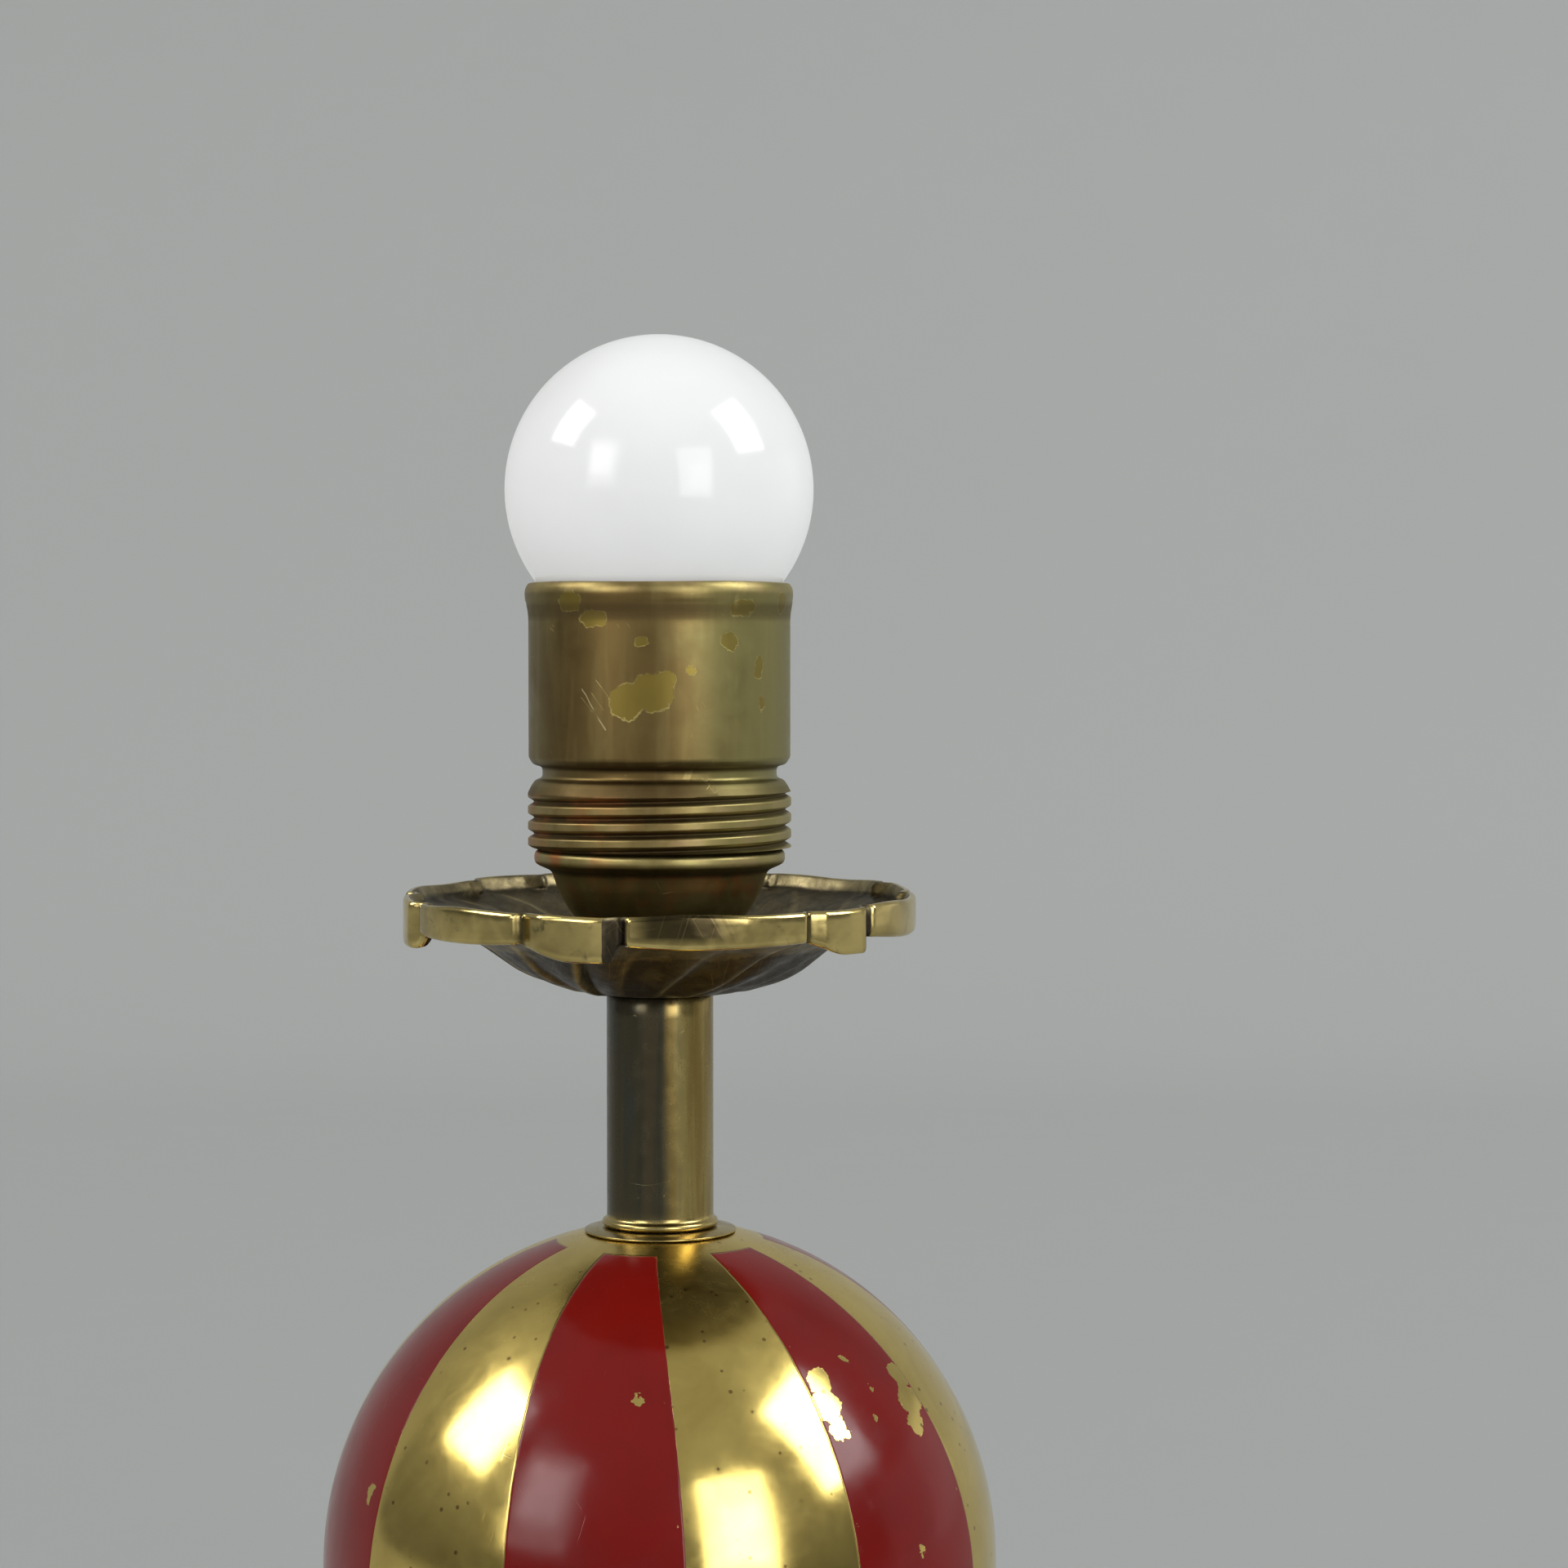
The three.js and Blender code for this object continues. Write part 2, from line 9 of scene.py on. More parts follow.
import bpy
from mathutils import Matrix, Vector


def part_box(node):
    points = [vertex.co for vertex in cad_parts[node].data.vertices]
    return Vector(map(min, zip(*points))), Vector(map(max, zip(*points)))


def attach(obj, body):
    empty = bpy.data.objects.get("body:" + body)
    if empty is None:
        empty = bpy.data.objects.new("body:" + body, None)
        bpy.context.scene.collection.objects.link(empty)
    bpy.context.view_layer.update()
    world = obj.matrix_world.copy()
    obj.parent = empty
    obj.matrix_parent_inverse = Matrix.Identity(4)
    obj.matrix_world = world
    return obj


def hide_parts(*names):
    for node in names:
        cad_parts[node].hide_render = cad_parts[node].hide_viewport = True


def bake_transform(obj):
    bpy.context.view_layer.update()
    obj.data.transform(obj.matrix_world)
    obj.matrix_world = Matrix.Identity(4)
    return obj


scene = bpy.context.scene
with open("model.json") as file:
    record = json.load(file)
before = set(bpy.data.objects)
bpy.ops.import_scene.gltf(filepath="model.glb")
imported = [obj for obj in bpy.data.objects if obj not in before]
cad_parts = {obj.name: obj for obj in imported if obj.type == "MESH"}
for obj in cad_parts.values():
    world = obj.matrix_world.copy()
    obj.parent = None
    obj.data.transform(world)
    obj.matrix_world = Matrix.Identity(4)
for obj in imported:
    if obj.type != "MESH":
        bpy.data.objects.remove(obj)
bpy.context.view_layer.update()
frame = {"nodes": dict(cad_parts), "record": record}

MM = 0.001
FINE = 192  # facets around a turned piece


# ---- sizes from the frame ----
def middle(node):
    low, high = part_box(node)
    return (low + high) / 2


def heights(node):
    """The bottom and the top of a CAD node, in millimetres."""
    low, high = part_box(node)
    return low.z / MM, high.z / MM


def half_width(node):
    """The radius of a round CAD node, in millimetres."""
    low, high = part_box(node)
    return (high.x - low.x) / 2 / MM


BALL = middle("ball").z / MM  # height of the ball's centre, from which the profiles count
BALL_R = half_width("ball")
BULB_TOP = heights("bulb_glass")[1]
BULB_R = half_width("bulb_glass")
BULB = BULB_TOP - BULB_R  # height of the bulb's centre
BORE = 5.3  # radius of the hole for the central rod
E27_PITCH = 25.4 / 7


def above(*points):
    """Profile points whose heights count from the ball's centre."""
    return [(r, BALL + z) for r, z in points]


# ---- camera ----
def add_camera():
    """The photograph's viewpoint, a little to the right of the lamp's axis."""
    dip = 2.303  # degrees that it looks down
    data = bpy.data.cameras.new("camera")
    data.lens = 82.5
    data.sensor_width = 36
    data.clip_start = 0.01
    camera = linked("camera", data)
    camera.location = (0.0186, -0.5372, (BALL + 138.06) * MM)
    camera.rotation_euler = (math.radians(90 - dip), 0, 0)
    scene.camera = camera


# ---- mesh helpers ----
def arc(centre_r, centre_z, radius, start, end, steps):
    """Points of a circular arc, with angles in degrees from the radius axis."""
    turns = [math.radians(start + (end - start) * i / steps) for i in range(steps + 1)]
    return [(centre_r + radius * math.cos(t), centre_z + radius * math.sin(t)) for t in turns]


def levels(start, end, step):
    """Evenly spaced numbers, about `step` apart."""
    count = max(1, round(abs(end - start) / step))
    return [start + (end - start) * i / count for i in range(count + 1)]


def smooth(low, high, value):
    """0 below low, 1 above high, smooth between; low above high turns it round."""
    t = min(1.0, max(0.0, (value - low) / (high - low)))
    return t * t * (3 - 2 * t)


def softened(points, radius, closed=True, steps=3):
    """The outline with each corner rounded off by up to `radius`."""
    made = []
    count = len(points)
    for i, point in enumerate(points):
        if not closed and i in (0, count - 1):
            made.append(point)
            continue
        corner = Vector(point)
        before = Vector(points[i - 1]) - corner
        after = Vector(points[(i + 1) % count]) - corner
        reach = min(radius, 0.45 * before.length, 0.45 * after.length)
        a = corner + before.normalized() * reach
        b = corner + after.normalized() * reach
        for k in range(steps + 1):
            t = k / steps
            p = a * (1 - t) ** 2 + corner * 2 * t * (1 - t) + b * t**2
            made.append((p.x, p.y))
    return made


def dense(points, step):
    """The outline with extra points, so that none are further apart than `step`."""
    made = []
    for (r0, z0), (r1, z1) in zip(points, points[1:]):
        count = max(1, math.ceil(math.hypot(r1 - r0, z1 - z0) / step))
        made += [(r0 + (r1 - r0) * i / count, z0 + (z1 - z0) * i / count) for i in range(count)]
    return [*made, points[-1]]


def linked(name, data):
    """A new object in the scene."""
    made = bpy.data.objects.new(name, data)
    scene.collection.objects.link(made)
    return made


def piece(name, vertices, faces, body, slot, replaces, sharp):
    """A visual piece on its body, if it has one, with edges over `sharp` degrees left crisp."""
    mesh = bpy.data.meshes.new(name)
    mesh.from_pydata(vertices, [], faces)
    mesh.update()
    mesh.shade_smooth()
    mesh.set_sharp_from_angle(angle=math.radians(sharp))
    mesh.materials.append(MATERIALS[slot])
    obj = linked(name, mesh)
    if body:
        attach(obj, body)
    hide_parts(*replaces)
    return obj


def around(x, y):
    """Distance from the axis, and azimuth: 0 at the front, growing to the right."""
    return math.hypot(x, y), math.atan2(x, -y)


def turned(name, profile, slot, replaces, body="lamp", shape=None, facets=FINE, sharp=38):
    """A solid of revolution from (radius, height) points that close on themselves.

    shape(radius, azimuth, height) may move a point.
    """
    vertices = []
    rows = []  # for each profile point, its vertex at each azimuth; one shared vertex on the axis
    for r, z in profile:
        row = []
        for i in range(facets if r > 0 else 1):
            azimuth = 2 * math.pi * i / facets
            out, up = shape(r, azimuth, z) if shape and r > 0 else (r, z)
            row.append(len(vertices))
            vertices.append((out * math.sin(azimuth) * MM, -out * math.cos(azimuth) * MM, up * MM))
        rows.append(row * facets if r == 0 else row)
    count = len(profile)
    area = sum(
        profile[k - 1][0] * profile[k][1] - profile[k][0] * profile[k - 1][1] for k in range(count)
    )
    faces = []
    for k in range(count):
        low, high = rows[k], rows[(k + 1) % count]
        for i in range(facets):
            j = (i + 1) % facets
            corners = list(dict.fromkeys((low[i], low[j], high[j], high[i])))
            if len(corners) > 2:
                faces.append(corners if area > 0 else corners[::-1])
    return piece(name, vertices, faces, body, slot, replaces, sharp)


# ---- material helpers ----
class Graph:
    """A procedural material: each method adds a node and returns its output socket."""

    def __init__(self, name):
        self.material = bpy.data.materials.new(name)
        self.material.use_nodes = True
        self.tree = self.material.node_tree
        self.shader = self.tree.nodes["Principled BSDF"]
        self.place = self.node("ShaderNodeTexCoord").outputs["Object"]

    def node(self, kind, **settings):
        made = self.tree.nodes.new(kind)
        for key, value in settings.items():
            setattr(made, key, value)
        return made

    def feed(self, socket, value):
        if isinstance(value, bpy.types.NodeSocket):
            self.tree.links.new(value, socket)
        elif isinstance(value, tuple) and len(value) == 3 and socket.type == "RGBA":
            socket.default_value = (*value, 1)
        else:
            socket.default_value = value

    def fill(self, made, **values):
        """Feeds a node's named inputs and returns its first output."""
        for key, value in values.items():
            self.feed(made.inputs[key.replace("_", " ")], value)
        return made.outputs[0]

    def set(self, **values):
        self.fill(self.shader, **values)

    def math(self, operation, a, b=0.0, clamp=False):
        made = self.node("ShaderNodeMath", operation=operation, use_clamp=clamp)
        for socket, value in zip(made.inputs, (a, b, 0.0)):
            self.feed(socket, value)
        return made.outputs[0]

    def times(self, a, b):
        return self.math("MULTIPLY", a, b)

    def plus(self, a, b, clamp=False):
        return self.math("ADD", a, b, clamp=clamp)

    def minus(self, a, b):
        return self.math("SUBTRACT", a, b)

    def axes(self):
        """The x, y and z of the place."""
        split = self.node("ShaderNodeSeparateXYZ")
        self.feed(split.inputs[0], self.place)
        return split.outputs[0], split.outputs[1], split.outputs[2]

    def azimuth(self, x, y):
        return self.math("ARCTAN2", x, self.times(y, -1.0))

    def vector(self, operation, a, b=(0, 0, 0)):
        made = self.node("ShaderNodeVectorMath", operation=operation)
        self.feed(made.inputs[0], a)
        self.feed(made.inputs[1], b)
        scalar = operation in ("LENGTH", "DISTANCE", "DOT_PRODUCT")
        return made.outputs["Value" if scalar else "Vector"]

    def stretched(self, scale, turn=(0, 0, 0)):
        """The place, turned and scaled, for a pattern that runs one way."""
        made = self.node("ShaderNodeMapping", vector_type="TEXTURE")
        return self.fill(made, Vector=self.place, Scale=tuple(1 / v for v in scale), Rotation=turn)

    def texture(self, kind, size, where=None):
        made = self.node(kind)
        self.fill(made, Vector=where or self.place, Scale=1 / (size * MM))
        return made

    def noise(self, size, detail=4, rough=0.55, distort=0.0, where=None):
        """Noise whose blobs are about `size` millimetres across, from 0 to 1."""
        made = self.texture("ShaderNodeTexNoise", size, where)
        return self.fill(made, Detail=detail, Roughness=rough, Distortion=distort)

    def dots(self, spacing):
        """Distance from scattered points, as a share of the spacing in millimetres."""
        return self.texture("ShaderNodeTexVoronoi", spacing).outputs["Distance"]

    def waver(self, size, reach):
        """A vector that wanders by up to `reach` millimetres over distances of about `size`."""
        wave = self.texture("ShaderNodeTexNoise", size)
        shift = self.vector("SUBTRACT", wave.outputs["Color"], (0.5, 0.5, 0.5))
        return self.vector("MULTIPLY", shift, (reach * MM * 2,) * 3)

    def between(self, value, low, high):
        """0 below low, 1 above high, smooth between; low above high turns it round."""
        made = self.node("ShaderNodeMapRange", interpolation_type="SMOOTHSTEP")
        return self.fill(made, Value=value, From_Min=low, From_Max=high)

    def cloud(self, low, high, *noise):
        """Patches: 0 where a noise is below low, and 1 where it is above high."""
        return self.between(self.noise(*noise), low, high)

    def spread(self, value, low, high, to_low, to_high):
        """The value, with its range from low to high mapped to that from to_low to to_high."""
        made = self.node("ShaderNodeMapRange")
        return self.fill(made, Value=value, From_Min=low, From_Max=high, To_Min=to_low, To_Max=to_high)

    def varied(self, low, high, *noise):
        """A noise, mapped to go between low and high."""
        return self.spread(self.noise(*noise), 0.3, 0.7, low, high)

    def mix(self, factor, a, b):
        """Colour a where the factor is 0, and b where it is 1."""
        made = self.node("ShaderNodeMix", data_type="RGBA")
        self.feed(made.inputs[0], factor)
        self.feed(made.inputs[6], a)
        self.feed(made.inputs[7], b)
        return made.outputs[2]

    def over(self, under, mask, share, top):
        """Colour `top` laid over `under` where the mask is, as strongly as the share says."""
        return self.mix(self.times(mask, share), under, top)

    def blend(self, factor, a, b):
        """The same as mix, for plain numbers."""
        made = self.node("ShaderNodeMix", data_type="FLOAT")
        self.feed(made.inputs[0], factor)
        self.feed(made.inputs[2], a)
        self.feed(made.inputs[3], b)
        return made.outputs[0]

    def bump(self, height, depth, under=None):
        """Relief `depth` millimetres deep."""
        made = self.node("ShaderNodeBump")
        if under:
            self.fill(made, Normal=under)
        return self.fill(made, Distance=depth * MM, Height=height)

    def scratches(self, length, width, turn, share=0.5):
        """Fine broken lines, `length` long and `width` wide in millimetres, at one slant."""
        where = self.stretched((1, width / length, width / length), turn)
        line = self.noise(width * 30, 1, 0.3, 0.2, where)
        thin = self.between(self.math("ABSOLUTE", self.minus(line, 0.5)), 0.008, 0.001)
        patch = self.between(self.noise(length * 0.6, 2), 1 - share, 1.05 - share)
        return self.times(thin, patch)

    def scored(self, share=0.5):
        """Scratches at three slants."""
        total = self.scratches(14, 0.12, (0.4, 0.3, 0), share)
        for turn in ((1.1, -0.5, 0.4), (-0.7, 0.9, 1.3)):
            total = self.math("MAXIMUM", total, self.scratches(9, 0.1, turn, share))
        return total

    def patches(self, spots, ragged):
        """Below 1 inside ragged patches.

        Each spot is x, y, height above the ball's centre, radius, and perhaps a stretch along each axis.
        """
        moved = self.place
        for size, share in ((4.0, 1.0), (1.2, 0.6), (0.35, 0.3)):
            moved = self.vector("ADD", moved, self.waver(size, ragged * share))
        nearest = None
        for x, y, up, size, *stretch in spots:
            away = self.vector("SUBTRACT", moved, (x * MM, y * MM, (BALL + up) * MM))
            scale = stretch[0] if stretch else (1, 1, 1)
            away = self.vector("MULTIPLY", away, tuple(1 / v for v in scale))
            far = self.math("DIVIDE", self.vector("LENGTH", away), size * MM)
            nearest = self.math("MINIMUM", nearest, far) if nearest else far
        return nearest

    def hairline(self, start, end, width):
        """1 on a thin wavering line between two points in millimetres."""
        a, b = Vector(start) * MM, Vector(end) * MM
        along = (b - a).normalized()
        bend = self.waver(3, 0.25)
        away = self.vector("ADD", self.vector("SUBTRACT", self.place, tuple(a)), bend)
        reach = self.math("MINIMUM", self.vector("DOT_PRODUCT", away, tuple(along)), (b - a).length)
        reach = self.math("MAXIMUM", reach, 0.0)
        foot = self.node("ShaderNodeVectorMath", operation="SCALE")
        foot.inputs[0].default_value = tuple(along)
        self.feed(foot.inputs["Scale"], reach)
        far = self.vector("DISTANCE", away, foot.outputs[0])
        return self.between(far, width * MM, width * 0.4 * MM)

    def painted(self, name):
        """A number from 0 to 1 that the mesh carries at its points."""
        return self.node("ShaderNodeAttribute", attribute_name=name).outputs["Fac"]


def brass(name, clean, dull, patina, rough=(0.16, 0.34), patchy=9, cover=0.5, score=0.45):
    """Metal that was polished once: a duller cloud over the clean metal, and spots of patina."""
    g = Graph(name)
    cloud = g.noise(patchy, 6, 0.62, 0.6)
    colour = g.mix(g.between(cloud, 0.36, 0.68), clean, dull)
    grime = g.between(g.noise(patchy * 0.45, 8, 0.68, 1.0), 0.72 - 0.3 * cover, 0.86 - 0.3 * cover)
    colour = g.over(colour, grime, 0.75, patina)
    lines = g.scored(score)
    colour = g.over(colour, lines, 0.35, tuple(min(1, c * 1.25) for c in clean))
    smudge = g.varied(*rough, patchy * 0.8, 5, 0.6, 0.4)
    g.set(Base_Color=colour, Metallic=1.0)
    g.set(Roughness=g.plus(smudge, g.times(grime, 0.18), clamp=True))
    fine = g.noise(0.6, 3, 0.5)
    relief = g.bump(g.plus(g.times(lines, -1.0), g.times(fine, 0.3)), 0.012)
    g.set(Normal=g.bump(g.noise(6, 2, 0.4), 0.05, relief))
    return g.material


# Marks in the holder's lacquer, listed as Graph.patches takes them.
HOLDER_MARKS = [
    (-4.0, -19.2, 129.2, 2.7),
    (-0.4, -19.6, 130.4, 3.0),
    (1.7, -19.5, 132.4, 1.4),
    (-12.4, -15.2, 143.6, 2.2, (1, 1, 0.7)),
    (-9.2, -17.4, 141.0, 1.9, (1.3, 1, 0.7)),
    (12.7, -15.0, 142.6, 1.9, (1.3, 1, 0.7)),
    (18.0, -7.8, 143.6, 1.6),
    (-1.9, -19.5, 137.7, 0.9),
    (10.8, -16.4, 137.9, 1.5, (1, 1, 0.9)),
    (15.0, -12.6, 133.9, 1.0, (1, 1, 1.7)),
    (15.3, -12.3, 128.6, 0.7, (1, 1, 1.6)),
    (5.1, -18.9, 133.6, 0.8, (1.2, 1, 0.8)),
    (6.0, 18.6, 129.0, 3.4, (1.2, 1, 1)),
    (9.5, 17.2, 132.0, 2.2),
    (-18.4, 6.5, 135.0, 2.6, (1, 1.2, 1)),
    (-12.0, 15.5, 124.0, 1.8),
]


def holder_brass():
    """Lacquered brass gone olive and brown, with patches where the lacquer lifted and left a rim, painted
    side light, painted shade in its grooves and a painted highlight on its lip.
    """
    g = Graph("holder_brass")
    brown = (0.165, 0.110, 0.040)
    olive = (0.285, 0.250, 0.097)
    gold = (0.50, 0.40, 0.16)
    # the "side" attribute makes the right-hand side lighter: painted side light, over the lacquer's own
    # brown and olive
    cloud = g.plus(g.noise(12, 6, 0.6, 0.5), g.times(g.painted("side"), 0.9))
    colour = g.mix(g.between(cloud, 0.45, 1.5), brown, olive)
    streak = g.noise(2.4, 3, 0.5, 0.2, g.stretched((1, 1, 0.12)))
    colour = g.over(colour, g.between(streak, 0.5, 0.75), 0.12, gold)
    marks = g.patches(HOLDER_MARKS, 0.9)
    bare = g.between(marks, 1.0, 0.93)
    edge = g.between(g.math("ABSOLUTE", g.minus(marks, 0.99)), 0.075, 0.02)
    edge = g.times(edge, g.cloud(0.36, 0.62, 2.2, 4, 0.6))
    colour = g.over(colour, bare, 0.7, (0.27, 0.20, 0.040))
    colour = g.over(colour, edge, 0.5, (0.60, 0.50, 0.18))
    scratch = g.hairline((-10.7, -16.4, BALL + 130.9), (-7.2, -18.2, BALL + 125.0), 0.14)
    colour = g.over(colour, scratch, 0.5, (0.70, 0.62, 0.36))
    fleck = g.cloud(0.70, 0.73, 1.6, 6, 0.72)
    colour = g.over(colour, fleck, 0.6, (0.55, 0.46, 0.2))
    # wear on the thread's crests, the bead and edges, and a painted highlight along the lip
    crest = g.painted("worn")
    colour = g.mix(g.times(crest, g.spread(g.noise(3, 5), 0.35, 0.65, 0.45, 0.95)), colour, gold)
    pink = g.times(g.cloud(0.5, 0.66, 4, 4), crest)
    colour = g.over(colour, pink, 0.6, (0.42, 0.27, 0.17))
    # painted shade: the mesh's "deep" darkens grooves, the neck and recesses, and a band under the lip as
    # a painted dark reflection
    groove = g.painted("deep")
    colour = g.over(colour, groove, 0.8, (0.060, 0.040, 0.021))
    copper = g.times(g.cloud(0.44, 0.64, 5, 3), g.painted("copper"))
    colour = g.over(colour, copper, 0.75, (0.46, 0.16, 0.055))
    lines = g.scored(0.35)
    colour = g.over(colour, lines, 0.4, gold)
    rough = g.varied(0.35, 0.46, 4, 6, 0.65, 0.4)
    rough = g.plus(rough, g.times(groove, 0.2))
    g.set(Base_Color=colour, Metallic=1.0)
    g.set(Roughness=g.plus(rough, g.times(crest, 0.06), clamp=True))
    relief = g.minus(g.times(g.noise(0.5, 4, 0.6), 0.4), lines)
    relief = g.bump(g.minus(relief, g.times(bare, 0.8)), 0.015)
    g.set(Normal=g.bump(g.noise(9, 2, 0.4), 0.03, relief))
    return g.material


def pan_brass():
    """Polished on the rim's outer band and dark with patina everywhere else, with painted shade, a painted
    dark reflection, painted reflections on the ridges and painted light on the inner side.
    """
    g = Graph("pan_brass")
    ragged = g.plus(g.painted("polish"), g.spread(g.noise(1.4, 5, 0.6), 0, 1, -0.12, 0.12))
    shine = g.between(ragged, 0.42, 0.58)
    bright = g.mix(g.cloud(0.42, 0.66, 7, 3, 0.5, 0.5), (0.64, 0.50, 0.19), (0.42, 0.325, 0.12))
    smear = g.cloud(0.58, 0.70, 4.6, 6, 0.66, 0.9)
    bright = g.over(bright, smear, 0.72, (0.13, 0.115, 0.06))
    cloud = g.cloud(0.4, 0.68, 4.5, 6, 0.65, 0.8)
    dark = g.mix(cloud, (0.040, 0.031, 0.021), (0.072, 0.058, 0.036))
    patch = g.cloud(0.63, 0.72, 3.4, 6, 0.65, 0.8)
    dark = g.over(dark, patch, 0.25, (0.30, 0.24, 0.11))
    # wear, and painted light: the ridges' painted reflections and the lighter inner side
    rubbed_and_lit = g.times(g.painted("worn"), g.spread(g.noise(4.2, 5, 0.6, 0.5), 0.34, 0.66, 0.25, 1.0))
    dark = g.mix(rubbed_and_lit, dark, (0.40, 0.33, 0.17))
    lines = g.scored(0.55)
    colour = g.mix(shine, dark, bright)
    # painted shade and a painted dark reflection, where the mesh carries them
    colour = g.over(colour, g.painted("deep"), 0.92, (0.018, 0.013, 0.009))
    colour = g.over(colour, lines, 0.1, (0.62, 0.48, 0.2))
    rough_bright = g.varied(0.11, 0.22, 3, 5, 0.6)
    rough_dark = g.varied(0.34, 0.56, 2.2, 5, 0.6)
    g.set(Base_Color=colour, Metallic=1.0, Roughness=g.blend(shine, rough_dark, rough_bright))
    pits = g.times(g.noise(0.9, 5, 0.65), g.minus(1.0, shine))
    cast = g.bump(pits, 0.05)
    g.set(Normal=g.bump(g.noise(5, 2, 0.45), 0.1, cast))
    return g.material


# Chips in the ball's red lacquer, likewise.
BALL_CHIPS = [
    (23.6, -30.3, 32.5, 2.3),
    (24.8, -32.7, 29.7, 2.6),
    (26.5, -33.9, 26.9, 1.9),
    (35.2, -18.4, 31.3, 2.1),
    (36.8, -20.4, 28.1, 2.6),
    (37.4, -22.6, 25.5, 1.9),
    (27.2, -24.7, 34.6, 0.85),
    (30.9, -25.4, 30.9, 0.35, (1, 1, 1.4)),
    (31.5, -28.9, 26.9, 0.45, (0.8, 0.8, 1.8)),
    (-1.3, -39.2, 31.8, 0.75, (1.3, 1, 0.8)),
    (38.3, -31.7, 9.0, 0.7),
    (-40.7, -25.6, 15.5, 0.9, (1, 1, 1.3)),
    (-48.0, 5.6, 14.1, 2.4, (1, 1, 1.2)),
    (8.1, 47.0, 16.2, 2.2, (1.2, 1, 1)),
    (11.1, 47.7, 11.6, 1.5),
    (22.2, 40.9, -18.7, 1.1),
]


def ball_paint():
    """Polished brass with sunk sectors of deep red lacquer, chipped here and there."""
    g = Graph("ball_paint")
    x, y, z = g.axes()
    azimuth = g.azimuth(x, y)
    squares = g.plus(g.times(x, x), g.times(y, y))
    off_axis = g.times(g.math("SQRT", squares), 1000)
    cap_r = 15.6  # the red sectors end short of the pole
    azimuth = g.plus(azimuth, g.spread(off_axis, cap_r, BALL_R, math.radians(6), 0.0))
    pair = math.radians(60)  # one red sector and one of brass
    quarter = pair / 4
    turn = g.plus(g.minus(azimuth, math.radians(6.2)), 4 * math.pi)
    turn = g.math("MODULO", turn, pair)
    side = g.minus(g.math("ABSOLUTE", g.minus(turn, 3 * quarter)), quarter)
    edge = g.times(side, off_axis)  # millimetres from the nearest border, below 0 in the red
    edge = g.plus(edge, g.spread(g.noise(3, 2), 0, 1, -0.12, 0.12))
    top = g.minus(cap_r, off_axis)
    outside = g.math("MAXIMUM", edge, top)
    red = g.between(outside, 0.05, -0.05)
    line = g.between(g.math("ABSOLUTE", outside), 0.28, 0.1)

    chips = g.between(g.patches(BALL_CHIPS, 1.3), 1.02, 0.98)
    nick = g.cloud(0.70, 0.715, 1.1, 4, 0.6)
    near_line = g.between(g.math("ABSOLUTE", outside), 1.2, 0.3)
    chips = g.math("MAXIMUM", chips, g.times(nick, near_line))
    red = g.times(red, g.minus(1.0, chips))

    cloud = g.cloud(0.36, 0.7, 12, 6, 0.62, 0.7)
    metal = g.mix(cloud, (0.78, 0.59, 0.175), (0.68, 0.505, 0.145))
    tarnish = g.cloud(0.62, 0.8, 3.4, 8, 0.7, 1.0)
    metal = g.over(metal, tarnish, 0.35, (0.34, 0.245, 0.075))
    dots = g.times(g.between(g.dots(2.6), 0.15, 0.09), g.cloud(0.44, 0.52, 9, 3))
    metal = g.over(metal, dots, 0.7, (0.16, 0.06, 0.025))
    metal = g.over(metal, line, 0.45, (0.16, 0.10, 0.04))
    cloud = g.cloud(0.35, 0.7, 16, 5, 0.6)
    lacquer = g.mix(cloud, (0.160, 0.0050, 0.0034), (0.136, 0.0042, 0.0030))
    lacquer = g.over(lacquer, g.cloud(0.62, 0.8, 2, 6, 0.7), 0.35, (0.24, 0.035, 0.03))
    lines = g.scored(0.34)
    lacquer = g.over(lacquer, lines, 0.14, (0.42, 0.12, 0.10))
    metal = g.over(metal, lines, 0.25, (0.88, 0.72, 0.36))
    colour = g.mix(red, metal, lacquer)
    rough_metal = g.varied(0.10, 0.19, 5, 6, 0.65, 0.5)
    rough_metal = g.plus(rough_metal, g.times(tarnish, 0.15))
    crown = g.between(z, (BALL + 30) * MM, (BALL + 43) * MM)
    rough_metal = g.plus(rough_metal, g.times(crown, 0.11))
    rough_red = g.varied(0.12, 0.22, 4, 5, 0.6)
    g.set(Base_Color=colour, Metallic=g.minus(1.0, red), Specular_IOR_Level=0.32)
    g.set(Roughness=g.blend(red, rough_metal, rough_red))
    sunk = g.plus(g.times(red, 0.8), g.times(line, -0.6))
    relief = g.bump(g.minus(sunk, g.times(lines, 0.12)), 0.05)
    g.set(Normal=g.bump(g.noise(9, 2, 0.45), 0.025, relief))
    return g.material


